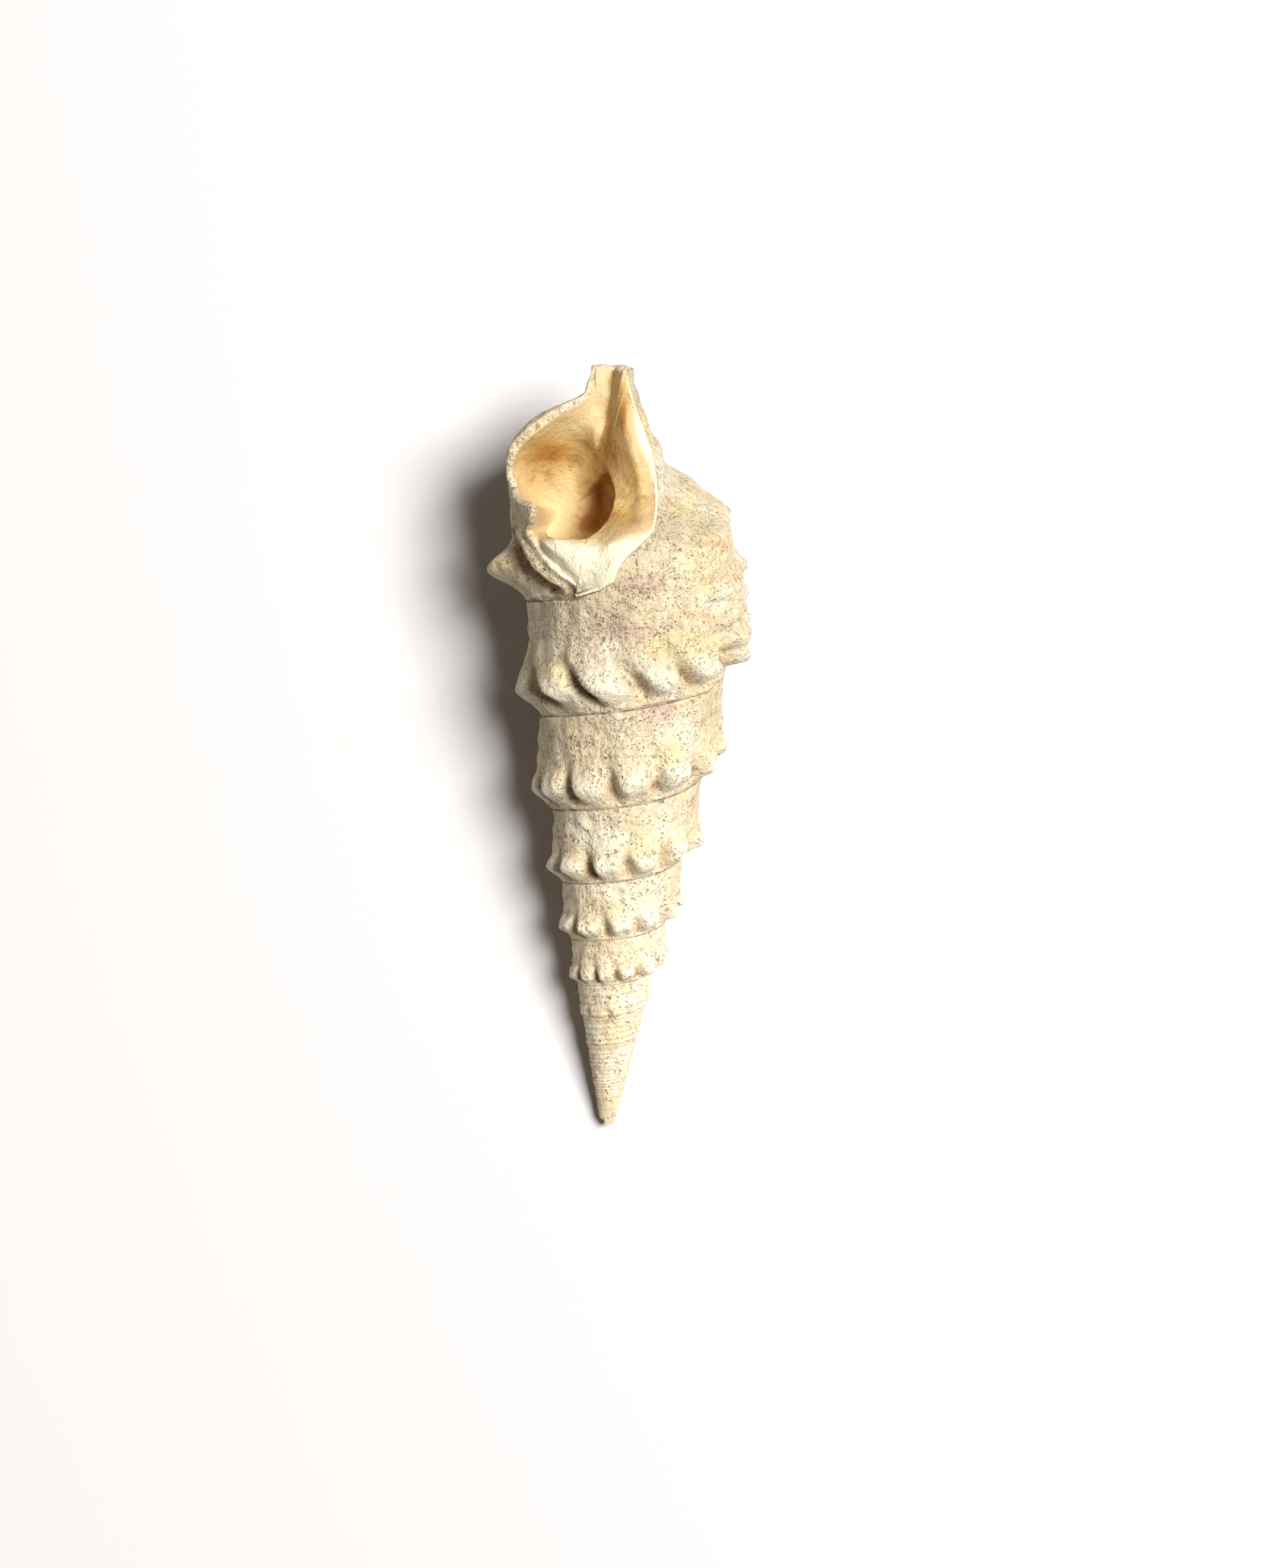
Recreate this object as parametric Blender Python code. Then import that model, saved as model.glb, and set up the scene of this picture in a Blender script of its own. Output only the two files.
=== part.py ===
"""Fossil batillaria shell, lying on its back with the mouth up. One closed body.

Every point of the outside is found from two numbers: the growth angle (how far the
animal had turned round the axis when it laid that point down, zero at the front of
the last whorl) and a place across the whorl (0 at the suture towards the tip, 1 at the
next suture; 1 to 2 is the base of the last whorl, down to the end of the canal).
Inside the rim, the mouth is a height over the ground, found from x and y.
Lengths are in millimetres until the mesh is made; the scene is in metres.
"""
import bmesh
import bpy
import numpy as np

MM = 0.001
TURN = 360.0                      # growth angles are in degrees

# The spiral
WHORL_GROWTH = 1.266              # each whorl's suture is this many times as far from the tip
SUTURE_HEIGHT = 27.87             # along the axis, at growth angle 0
SUTURE_RADIUS = 5.36              # at growth angle 0
CONE_POWER = 0.916                # under 1: the spire's sides bulge a little
FIRST_ANGLE = -4342.0             # where the modelled spiral starts, at the blunt tip
CORNER_ANGLE = 334.0              # where the last suture ends, at the corner of the mouth
CANAL_HEIGHT = 46.7               # end of the canal, along the axis from the virtual tip
YOUNG_ANGLE = -2200.0             # whorls grown before this are smooth, without steps or knobs

# How the shell lies
LEAN = 2.8                        # degrees, axis to the right, seen from above
RISE = 11.8                       # degrees, the mouth end up
VIRTUAL_TIP = (-0.38, -23.73, 0.28)

# Relief of the sides
RAMP_ON_KNOB, RAMP_BETWEEN = 0.23, 0.55   # the step beside the suture ends at this place
LAST_SWELL = 0.17
PINCH = 0.04                      # the sides of the older whorls are this much hollow
KNOB_HEIGHT = 0.86                # on the last whorl
KNOB_STEEP = 0.60                 # how much steeper the older flank is
KNOB_PLACE = 0.25
KNOB_ABOVE, KNOB_BELOW = 0.13, 0.19       # half widths across the whorl, on the suture's side and the other
RIB_PLACE, RIB_WIDTH, RIB_SHARE = 0.62, 0.20, 0.15
KNOB_LEAN, KNOB_LEAN_FRONT = 14.0, 54.0   # how far the crests lean back, in degrees of turn per whorl width
BIG_KNOB_ANGLE, BIG_KNOB_WIDTH, BIG_KNOB_SHARE = 76.0, 16.0, 0.3
KNOBS_END, KNOBS_FADE = 272.0, 30.0       # past this angle only the outer lip's flange is left
SPINE_ANGLE, SPINE_PLACE, SPINE_HEIGHT = 268.0, 0.30, 0.45
GROOVE_BEFORE, GROOVE_WIDTH, GROOVE_DEPTH = 17.0, 6.5, 0.85   # groove behind the outer lip's edge
DROP_BEFORE, DROP_WIDTH, DROP_DEPTH = 32.0, 18.0, 0.50        # the edge itself drops a little
# Growth angles of knobs read at the front, and their running number; evenly spaced between.
KNOB_ANGLES = (-4400, -1835, -1797, -1483, -1429, -1150, -1080, -800, -735, -418, -358, -83,
               -45, -17, 14, 40, 74, 268, 330)
KNOB_NUMBERS = (-130, -59, -58, -47, -45, -36, -34, -25, -23, -13, -11, -2, -1, 0, 1, 2, 3, 9, 10.5)

# How far the last whorl keeps to the cone: radius and height of a suture as a share of the cone's
SEAM_ANGLES = (0, 90, 180, 270, 330, 450, 540, 630, 690)
SEAM_SHARES = (1.0, 0.985, 0.95, 0.96, 0.96, 0.825, 0.91, 0.935, 0.935)
HEIGHT_SHARES = (1.0, 1.0, 1.0, 0.993, 0.988, 1.0, 0.985, 0.95, 0.94)

# Base: how far down it has fallen half way in, by growth angle; and the neck it falls to
BASE_ANGLES = (-40, 90, 180, 285)
BASE_HALVES = (0.30, 0.150, 0.40, 0.52)
BASE_SHARPNESS = 4.0
ROUND_FROM, ROUND_WIDTH = 190.0, 70.0     # growth angles where the base turns rounder, near the outer lip
NECK_RADIUS = 1.2
NECK_SPREAD = 0.85
CANAL_BEND = 1.8                  # the canal's end lies this far to the left of the axis
BEND_FROM, BEND_LENGTH = 38.5, 8.2        # height along the axis where the bend starts, and its length

# Growth angle of the outer lip's edge by place; the jump at 0.78 is the broken notch
LIP_PLACES = (0.0, 0.05, 0.10, 0.14, 0.20, 0.31, 0.44, 0.53, 0.585, 0.66, 0.74, 0.775, 0.79, 0.805, 0.86,
              0.90, 0.98, 1.075, 1.205, 1.34, 1.53, 1.685, 1.80, 2.0)
LIP_ANGLES = (326, 328, 328, 326, 321, 314, 304.5, 297, 295, 302, 306.5, 306, 299, 294, 286,
              281, 277, 278, 282, 283, 288, 290, 284, 274)
# Growth angle of the inner lip's edge by place down the base
INNER_DOWN = (0.0, 0.015, 0.05, 0.105, 0.15, 0.18, 0.21, 0.225, 0.26, 0.345, 0.54, 0.725, 0.9, 1.0)
INNER_ANGLES = (-26, -17, -10, -7.5, -3.5, 1, 9, 15, 20.5, 33.5, 49.5, 57, 57, 52)
# Thickness of the outer lip by place
THICK_PLACES = (0.0, 0.15, 0.5, 0.8, 1.2, 1.45, 1.7, 2.0)
LIP_THICK = (0.15, 0.30, 0.32, 0.36, 0.40, 0.62, 0.42, 0.25)
INNER_THICK = 0.16
INNER_STEP = 0.12                 # the inner lip's layer stands this far off the whorl under it
CORNER_TAPER = 1.8
# Section of the canal's open end: to the right of the axis and in front of it
TIP_ACROSS = (-0.95, -0.7, -0.3, 0.12, 0.35, 0.65, 0.92)
TIP_FORWARD = (0.10, -0.22, -0.36, -0.46, 0.10, 0.82, 0.58)

# Heights inside the mouth: x, y and z on the canal's floor, its ridge, the funnel and the white crest
HEIGHTS = np.array((
    (-0.53, 21.39, 9.75), (0.10, 21.40, 9.60), (0.69, 21.24, 10.70), (1.04, 21.27, 10.65),
    (-0.75, 19.33, 9.25), (-0.24, 19.34, 9.10), (0.45, 19.20, 10.20), (0.95, 19.07, 10.75),
    (1.60, 19.0, 10.45),
    (-1.10, 17.90, 8.70), (-0.60, 17.9, 8.75), (0.40, 17.3, 9.80), (1.34, 16.89, 10.60), (2.20, 16.45, 10.75),
    (2.50, 14.93, 11.00), (1.12, 14.82, 9.95), (1.80, 14.9, 10.40), (2.67, 12.91, 12.10),
    (1.98, 12.42, 12.85), (1.0, 13.1, 11.20), (0.85, 12.2, 12.9), (-0.16, 11.63, 13.25),
    (-1.87, 11.74, 12.95), (-2.95, 11.85, 12.60), (0.48, 10.88, 13.60), (-0.79, 10.46, 13.35),
    (-1.44, 9.63, 12.85), (-1.75, 9.0, 12.4)))
# Throat's edge: direction in degrees, distance and height, from the throat's centre
THROAT = np.array((-0.86, 14.63))
EDGE_DIRECTIONS = (-140, -130, -116, -99, -92, -75, -50, -15, 22, 47, 65, 83, 110, 140, 209)
EDGE_DISTANCES = (3.6, 3.39, 2.83, 2.51, 2.19, 1.71, 1.23, 1.03, 1.13, 1.34, 1.70, 2.45, 3.4, 3.6, 3.6)
EDGE_HEIGHTS = (12.0, 12.5, 12.4, 12.2, 11.8, 11.0, 10.3, 9.9, 9.5, 9.2, 8.9, 8.3, 7.6, 7.6, 10.2)
# Bowl below the throat, which the fossil's filling closes
BOWL = np.array((-2.45, 14.45))
BOWL_HEIGHT = 5.7
BOWL_SHARE = 0.34                 # the throat's edge lies this share of the way from outer lip to bowl
WALL_DIRECTIONS = (-140, 95, 165, 190, 220)
WALL_POWERS = (5.0, 2.0, 2.4, 5.0, 6.0)
UNDERCUT = 1.1
UNDERCUT_END = 0.42               # share of the way to the floor where the hollow under the crescent ends
SOFT_FROM, SOFT_WIDTH = 84.0, 40.0        # headings where the throat's edge fades into the outer lip's wall
OPEN_FROM, OPEN_WIDTH = 50.0, 24.0        # headings where the bowl's undercut fades out
LIP_ROUND = 0.07
TIP_ROUND = 0.12

# Surface
SHELL_COLOUR = (0.78, 0.70, 0.55, 1.0)
SHELL_ROUGHNESS = 0.85

# Mesh
COLUMNS = 60                      # round one turn; half as many on the young whorls
ROWS = (0.0, 0.07, 0.16, 0.27, 0.45, 0.74)
BASE_ROWS = (0.07, 0.14, 0.21, 0.29, 0.38, 0.48, 0.60, 0.74, 0.88, 1.0)
SHEET_RINGS = 6
BOWL_SHARES = (0.12, 0.28, 0.5, 0.75)


def smooth(x):
    """0 below 0, 1 above 1, and an even S between."""
    x = np.clip(x, 0.0, 1.0)
    return x * x * (3 - 2 * x)


def bell(x):
    return np.exp(-x * x)


def suture_height(angle):
    """Height along the axis grows by the same factor in every turn, but for the last whorl's edge."""
    share = np.interp(angle, SEAM_ANGLES, HEIGHT_SHARES)
    return SUTURE_HEIGHT * WHORL_GROWTH ** (angle / TURN) * share


def seam_radius(angle):
    """Radius of the suture: a power of its height, times the last whorl's own share."""
    cone = SUTURE_RADIUS * WHORL_GROWTH ** (CONE_POWER * angle / TURN)
    return cone * np.interp(angle, SEAM_ANGLES, SEAM_SHARES)


def knob_wave(angle, place):
    """1 on a knob's crest, 0 between knobs; the older flank is steep, and the crests lean back."""
    front = smooth((angle + 150) / 100) * smooth((110 - angle) / 60)
    lean = KNOB_LEAN + (KNOB_LEAN_FRONT - KNOB_LEAN) * front
    lean = lean * (np.clip(place, 0, 0.5) - KNOB_PLACE)
    turn = 2 * np.pi * np.interp(angle + lean, KNOB_ANGLES, KNOB_NUMBERS)
    return (0.5 + 0.5 * np.cos(turn + KNOB_STEEP * (np.cos(turn) - 1))) ** 1.3


def knobs(angle, place):
    """Height of the knobs: the wave round the whorl times a lopsided bell across it, and a faint rib."""
    width = np.where(place < KNOB_PLACE, KNOB_ABOVE, KNOB_BELOW)
    row = bell((place - KNOB_PLACE) / width) + RIB_SHARE * bell((place - RIB_PLACE) / RIB_WIDTH)
    size = WHORL_GROWTH ** (0.95 * angle / TURN) * smooth((angle - YOUNG_ANGLE + 200) / 1300)
    size = size * (1 + BIG_KNOB_SHARE * bell((angle - BIG_KNOB_ANGLE) / BIG_KNOB_WIDTH))
    size = size * (1 - 0.9 * smooth((angle - KNOBS_END) / KNOBS_FADE))
    spine = SPINE_HEIGHT * bell((angle - SPINE_ANGLE) / 9.0) * bell((place - SPINE_PLACE) / 0.13)
    return KNOB_HEIGHT * size * (knob_wave(angle, place) - 0.10) * row * smooth(place / 0.06) + spine


def flange(angle, place):
    """The outer lip's folded edge: a groove a little before the edge, and a drop towards it."""
    before = np.interp(place, LIP_PLACES, LIP_ANGLES) - angle
    groove = -GROOVE_DEPTH * bell((before - GROOVE_BEFORE) / GROOVE_WIDTH)
    drop = -DROP_DEPTH * smooth((DROP_BEFORE - before) / DROP_WIDTH)
    low = 1 - smooth((place - 0.5) / 0.22)
    return (drop + groove * smooth(place / 0.12)) * low * (angle > 250)


def climb(angle, place):
    """Share of the step from suture to wall, over a ramp that is short on a knob and long between two."""
    grown = smooth((angle - YOUNG_ANGLE) / 900)
    late = smooth((angle - 255) / 30)
    wave = knob_wave(angle, place) * (1 - late) + 0.7 * late
    share = np.clip(place / (RAMP_BETWEEN + (RAMP_ON_KNOB - RAMP_BETWEEN) * wave), 0, 1)
    return (0.3 * share + 0.7 * smooth(share)) * grown + place ** 0.85 * (1 - grown)


def side(angle, place):
    """Radius and height of the whorl's side: up the step, then almost straight to the next suture."""
    low = seam_radius(angle)
    high = seam_radius(angle + TURN)
    height = suture_height(angle) * (suture_height(angle + TURN) / suture_height(angle)) ** place
    swell = LAST_SWELL * smooth(angle / 90) * (1 - 0.9 * smooth((angle - 190) / 60)) - PINCH
    radius = low + (high * (1 + swell * (1 - place) * 4 * place) - low) * climb(angle, place)
    return radius + knobs(angle, place) * smooth((1 - place) / 0.2) + flange(angle, place), height


def base(angle, down):
    """Radius and height of the base: a falling S, and near the outer lip a rounder fall."""
    top_radius = seam_radius(angle + TURN)
    top_height = suture_height(angle + TURN)
    half = np.interp(angle, BASE_ANGLES, BASE_HALVES)
    last = 1 / (1 + (1 / half) ** BASE_SHARPNESS)
    steep = (1 / (1 + (down / half) ** BASE_SHARPNESS) - last) / (1 - last)
    rounder = np.sqrt(np.clip(1 - (down / 0.80) ** 2.3, 0, 1) ** 2 + 0.02 ** 2) * (1 - down ** 6)
    share = steep + (rounder - steep) * smooth((angle - ROUND_FROM) / ROUND_WIDTH)
    neck = NECK_RADIUS + NECK_SPREAD * smooth((1 - down) / 0.55) * smooth((210 - angle) / 120)
    radius = neck + (top_radius - neck) * share
    return radius, top_height + (CANAL_HEIGHT - top_height) * down


def bend(height):
    """How far the canal swings to the left of the axis."""
    return CANAL_BEND * smooth((height - BEND_FROM) / BEND_LENGTH)


def place_in_space(angle, radius, height):
    """From turn angle, radius and height along the axis to x, y, z in millimetres."""
    lean, rise = np.radians(LEAN), np.radians(RISE)
    along = np.array((np.sin(lean) * np.cos(rise), np.cos(lean) * np.cos(rise), np.sin(rise)))
    right = np.array((np.cos(lean), -np.sin(lean), 0.0))
    front = np.cross(right, along)
    turn = np.radians(angle)
    across = radius * np.sin(turn) - bend(height)
    point = height[..., None] * along + across[..., None] * right
    point = point + (radius * np.cos(turn))[..., None] * front
    return point + np.array(VIRTUAL_TIP)


def warped(angle, place):
    """Growth angle moved so that the last turn starts at the inner lip and ends at the outer one."""
    lip = np.interp(place, LIP_PLACES, LIP_ANGLES) - CORNER_ANGLE
    inner = np.interp(place - 1, INNER_DOWN, INNER_ANGLES) - (CORNER_ANGLE - TURN)
    inner = inner * (place > 1)
    near_lip = smooth((angle - CORNER_ANGLE + 110) / 110)
    near_inner = smooth((CORNER_ANGLE - TURN + 170 - angle) / 170) * (angle >= CORNER_ANGLE - TURN)
    return angle + lip * near_lip + inner * near_inner


def outside():
    """Points of the whorls (columns by rows) and of the base of the last turn."""
    turns = (CORNER_ANGLE - FIRST_ANGLE) / TURN
    count = int(round(turns * COLUMNS))
    angles = CORNER_ANGLE - TURN / COLUMNS * np.arange(count, -1, -1)
    angle, place = np.meshgrid(angles, ROWS, indexing="ij")
    angle = warped(angle, place)
    whorls = place_in_space(angle, *side(angle, place))
    rows = 1 + np.array((0.0,) + BASE_ROWS)
    angle, place = np.meshgrid(angles[-COLUMNS - 1:], rows, indexing="ij")
    angle = warped(angle, place)
    return whorls, place_in_space(angle, *base(angle, place - 1))


def sheet_height(spot, held):
    """Height at x, y of a springy sheet held at the given points: kernels of their distances plus a plane."""
    def spread(a, b):
        away = np.hypot(a[..., None, 0] - b[:, 0], a[..., None, 1] - b[:, 1])
        return away * away * np.log(away + 1e-9)
    count = len(held)
    flat = np.column_stack((np.ones(count), held[:, :2]))
    left = np.block([[spread(held, held), flat], [flat.T, np.zeros((3, 3))]])
    weight = np.linalg.solve(left, np.concatenate((held[:, 2], np.zeros(3))))
    return spread(spot, held) @ weight[:count] + weight[count] + spot @ weight[count + 1:]


def softness(heading, first, width):
    """1 on the outer lip's side, 0 along the inner lip; heading in degrees from the throat's centre."""
    heading = heading % TURN
    return smooth((heading - first) / width) * smooth((226 - heading) / 22)


def bowl_height(start, share, heading):
    """Height of the bowl's wall: steep at the lip, then levelling out towards the floor."""
    power = np.interp(heading, WALL_DIRECTIONS, WALL_POWERS, period=360)
    return BOWL_HEIGHT + (start - BOWL_HEIGHT) * (1 - share) ** power


def inner_edge(rim):
    """The rim moved inwards by the lip's thickness; 0 at the corner of the mouth."""
    lip_count = len(ROWS) + 1 + len(BASE_ROWS)
    ahead = np.roll(rim, -1, axis=0) - np.roll(rim, 1, axis=0)
    inward = np.column_stack((ahead[:, 1], -ahead[:, 0]))
    inward = inward / np.maximum(np.hypot(*inward.T), 1e-6)[:, None]
    thick = np.full(len(rim), INNER_THICK)
    lip_places = np.concatenate((ROWS, [1.0], 1 + np.array(BASE_ROWS)))
    thick[:lip_count] = np.interp(lip_places, THICK_PLACES, LIP_THICK)
    step = np.full(len(rim), INNER_STEP)
    step[:lip_count] = -LIP_ROUND
    taper = smooth(np.hypot(*(rim[:, :2] - rim[0, :2]).T) / CORNER_TAPER)
    thick, step = thick * (0.1 + 0.9 * taper), step * taper
    edge = np.column_stack((rim[:, :2] + inward * thick[:, None], rim[:, 2] + step))
    share = np.linspace(0, 1, COLUMNS + 2)[1:-1]
    across = np.interp(share, np.linspace(0, 1, len(TIP_ACROSS)), TIP_ACROSS)
    forward = np.interp(share, np.linspace(0, 1, len(TIP_ACROSS)), TIP_FORWARD)
    turn = np.degrees(np.arctan2(across, forward))
    depth = CANAL_HEIGHT - 0.08 + 0 * across
    edge[lip_count:lip_count + COLUMNS] = place_in_space(turn, np.hypot(across, forward), depth)
    return edge, taper


def throat_edge(inner, heading):
    """The throat's edge: by hand along the inner lip, part of the way to the bowl along the outer lip."""
    away = np.interp(heading, EDGE_DIRECTIONS, EDGE_DISTANCES, period=360)
    height = np.interp(heading, EDGE_DIRECTIONS, EDGE_HEIGHTS, period=360)
    turn = np.radians(heading)
    sharp = np.column_stack((THROAT[0] + away * np.cos(turn), THROAT[1] + away * np.sin(turn), height))
    spot = inner[:, :2] + (BOWL - inner[:, :2]) * BOWL_SHARE
    soft = np.column_stack((spot, bowl_height(inner[:, 2], BOWL_SHARE, heading)))
    return sharp + (soft - sharp) * softness(heading, SOFT_FROM, SOFT_WIDTH)[:, None]


def mouth(rim):
    """Rings from the rim over the lip, over the sheet to the throat's edge, and down to the bowl's floor."""
    inner, taper = inner_edge(rim)
    heading = np.degrees(np.arctan2(inner[:, 1] - THROAT[1], inner[:, 0] - THROAT[0]))
    throat = throat_edge(inner, heading)
    soft = softness(heading, SOFT_FROM, SOFT_WIDTH)
    held = np.concatenate((HEIGHTS, throat[soft < 0.5][::4]))
    at_inner = sheet_height(inner[:, :2], held)
    at_throat = sheet_height(throat[:, :2], held)
    rings = [0.5 * (rim + inner) + np.array((0, 0, LIP_ROUND)), inner]
    for share in np.linspace(0, 1, SHEET_RINGS + 1)[1:]:
        spot = inner + (throat - inner) * share
        height = sheet_height(spot[:, :2], held)
        height = height + (inner[:, 2] - at_inner) * (1 - smooth(share / (0.05 + 0.40 * taper)))
        height = height + (throat[:, 2] - at_throat) * smooth((share - 0.5) / 0.5)
        height = height + (bowl_height(inner[:, 2], BOWL_SHARE * share, heading) - height) * soft
        rings.append(np.column_stack((spot[:, :2], height)))
    return rings + bowl(throat, heading), np.array((*BOWL, BOWL_HEIGHT))


def bowl(edge, heading):
    """Rings from the throat's edge towards the floor's middle: back under the crescent, or down the wall."""
    outward = edge[:, :2] - BOWL
    outward = outward / np.hypot(*outward.T)[:, None]
    opened = softness(heading, OPEN_FROM, OPEN_WIDTH)
    rings = []
    for share in BOWL_SHARES:
        along = edge[:, :2] + (BOWL - edge[:, :2]) * share
        below = edge[:, :2] + outward * UNDERCUT * np.sin(np.pi * min(share / UNDERCUT_END, 1.0))
        below = below + (BOWL - edge[:, :2]) * smooth((share - 0.22) / 0.78)
        wall = bowl_height(edge[:, 2], share, heading)
        fall = edge[:, 2] + (BOWL_HEIGHT - edge[:, 2]) * smooth(share / 0.5)
        spot = below + (along - below) * opened[:, None]
        rings.append(np.column_stack((spot, fall + (wall - fall) * opened)))
    return rings


def shell_surface():
    """All points and faces of the closed skin, faces turned outwards."""
    whorls, base_grid = outside()
    last, rows = len(whorls) - 1, len(ROWS)
    down = len(BASE_ROWS)
    whorl_id = thinned(np.arange(whorls.shape[0] * rows).reshape(-1, rows))
    base_id = whorl_id.size + np.arange((COLUMNS + 1) * (down + 1)).reshape(-1, down + 1)
    base_id[0, 0] = whorl_id[last, 0]
    next_turn = np.concatenate((whorl_id[COLUMNS:, 0], base_id[1:, 0]))
    grid = np.column_stack((whorl_id, next_turn))
    faces = quads(grid) + quads(base_id)
    points = [whorls.reshape(-1, 3), base_grid.reshape(-1, 3)]
    rim = np.concatenate((grid[last], base_id[-1, 1:], base_id[-2::-1, -1], base_id[0, -2:0:-1]))
    flat = np.concatenate(points)
    rings, pole = mouth(flat[rim])
    start, before = len(flat), rim
    for ring in rings:
        now = start + np.arange(len(ring))
        faces += quads(np.column_stack((before, now))[np.r_[0:len(now), 0]][::-1])
        start, before = start + len(now), now
    faces += [(a, start, b) for a, b in zip(before, np.roll(before, -1))]
    tip = np.concatenate((whorl_id[COLUMNS::-1, 0], whorl_id[0, 1:]))
    faces += [(a, b, start + 1) for a, b in zip(tip, np.roll(tip, -1))]
    end = place_in_space(np.array(0.0), np.array(0.0), suture_height(np.array(FIRST_ANGLE)) - TIP_ROUND)
    points = np.concatenate([flat] + rings + [pole[None], end[None]])
    return points, faces


def thinned(whorl_id):
    """Point numbers of the whorls; on the young ones every other column and two rows are left out."""
    columns = np.arange(len(whorl_id))
    angles = CORNER_ANGLE - TURN / COLUMNS * columns[::-1]
    young = columns[angles < YOUNG_ANGLE + 200]
    whorl_id[young[1::2]] = whorl_id[young[1::2] - 1]
    whorl_id[young, 1] = whorl_id[young, 0]
    whorl_id[young, 3] = whorl_id[young, 2]
    return whorl_id


def quads(grid):
    """Faces between neighbouring columns and rows of a grid of point numbers."""
    corners = np.stack((grid[:-1, :-1], grid[1:, :-1], grid[1:, 1:], grid[:-1, 1:]), axis=-1)
    return [tuple(int(n) for n in four) for four in corners.reshape(-1, 4)]


def worn_flat(mesh):
    """Cuts off what lies below the ground, and closes the cuts with flat faces."""
    whole = mesh.verts[:] + mesh.edges[:] + mesh.faces[:]
    bmesh.ops.bisect_plane(mesh, geom=whole, plane_co=(0, 0, 0), plane_no=(0, 0, 1), clear_inner=True)
    open_edges = [edge for edge in mesh.edges if edge.is_boundary]
    for edge in open_edges:
        for vert in edge.verts:
            vert.co.z = 0.0
    bmesh.ops.holes_fill(mesh, edges=open_edges, sides=0)


def stone_material():
    """Pale chalky fossil shell."""
    material = bpy.data.materials.new("fossil_shell")
    material.use_nodes = True
    shader = material.node_tree.nodes["Principled BSDF"]
    shader.inputs["Base Color"].default_value = SHELL_COLOUR
    shader.inputs["Roughness"].default_value = SHELL_ROUGHNESS
    return material


def main():
    for obj in list(bpy.data.objects):
        bpy.data.objects.remove(obj)
    points, faces = shell_surface()
    points[:, :2] -= (points[:, :2].min(axis=0) + points[:, :2].max(axis=0)) / 2
    mesh = bmesh.new()
    verts = [mesh.verts.new(point) for point in (points * MM).tolist()]
    for face in faces:
        corners = [verts[n] for n in dict.fromkeys(face)]
        if len(corners) > 2:
            mesh.faces.new(corners)
    loose = [vert for vert in mesh.verts if not vert.link_faces]
    bmesh.ops.delete(mesh, geom=loose, context="VERTS")
    bmesh.ops.triangulate(mesh, faces=mesh.faces[:])
    worn_flat(mesh)
    bmesh.ops.triangulate(mesh, faces=mesh.faces[:])
    data = bpy.data.meshes.new("shell")
    mesh.to_mesh(data)
    mesh.free()
    data.materials.append(stone_material())
    shell = bpy.data.objects.new("shell", data)
    bpy.context.scene.collection.objects.link(shell)


main()
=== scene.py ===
# %% [markdown]
# # A fossil batillaria shell, lying on its back
#
# The part is a tall snail shell turned to stone: a spire of knobbed whorls, a last whorl with a
# short canal, and a mouth that opens towards the viewer. The whole outside of such a shell
# follows one rule, a spiral that grows by the same factor in every turn, so the lesson builds it
# from that rule with numpy instead of sculpting it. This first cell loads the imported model, which
# is the fixed frame that everything else has to fit.

import bpy
import numpy as np
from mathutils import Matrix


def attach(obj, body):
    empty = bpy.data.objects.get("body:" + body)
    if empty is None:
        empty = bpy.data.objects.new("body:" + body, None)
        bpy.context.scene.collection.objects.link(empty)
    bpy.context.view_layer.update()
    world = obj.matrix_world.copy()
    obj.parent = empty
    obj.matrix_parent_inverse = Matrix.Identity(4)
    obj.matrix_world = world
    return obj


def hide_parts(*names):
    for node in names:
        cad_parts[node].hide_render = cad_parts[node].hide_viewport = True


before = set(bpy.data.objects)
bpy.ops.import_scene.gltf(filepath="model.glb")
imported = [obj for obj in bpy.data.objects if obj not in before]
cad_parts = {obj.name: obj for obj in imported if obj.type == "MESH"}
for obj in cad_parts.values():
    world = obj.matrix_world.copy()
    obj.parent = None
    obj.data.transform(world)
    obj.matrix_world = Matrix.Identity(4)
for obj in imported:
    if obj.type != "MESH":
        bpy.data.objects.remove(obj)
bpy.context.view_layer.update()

# %% [markdown]
# ## Camera
#
# The shell is seen from straight above, from about four shell lengths away. A camera looks down its
# own -Z, so it needs no turning. Its focal length follows from how many millimetres one pixel
# covers at the height of the shell's axis.

# %% Camera straight above
PHOTO_HIGH_PX = 2064
MM_PER_PX = 0.0449
CAMERA_HEIGHT = 0.190
AXIS_HEIGHT = 0.004
VIEW_CENTRE = (0.00067, -0.00177)

camera_data = bpy.data.cameras.new("camera")
camera_data.sensor_width = 36.0
focal_px = (CAMERA_HEIGHT - AXIS_HEIGHT) * 1000 / MM_PER_PX
camera_data.lens = camera_data.sensor_width * focal_px / PHOTO_HIGH_PX
camera_data.clip_start, camera_data.clip_end = 0.01, 10.0
camera = bpy.data.objects.new("camera", camera_data)
camera.location = (*VIEW_CENTRE, CAMERA_HEIGHT)
bpy.context.scene.collection.objects.link(camera)
bpy.context.scene.camera = camera
print("lens, mm:", round(camera_data.lens, 1))

# %% [markdown]
# ## Two curves
#
# A grown thing has few straight lines and few sharp steps. Two curves do most of the work here: an
# S that goes from 0 to 1, to blend one shape into the next, and a bell, to raise or lower something
# at one place. Both work on whole arrays.


# %% S curve and bell
def smooth(x):
    """An S: 0 below 0, 1 above 1, and 3x^2 - 2x^3 between."""
    x = np.clip(x, 0.0, 1.0)
    return x * x * (3 - 2 * x)


def bell(x):
    """A bell: e to the power of minus x squared."""
    return np.exp(-x * x)


print("S at a quarter:", smooth(0.25), " bell at one:", round(float(bell(1.0)), 3))

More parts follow.
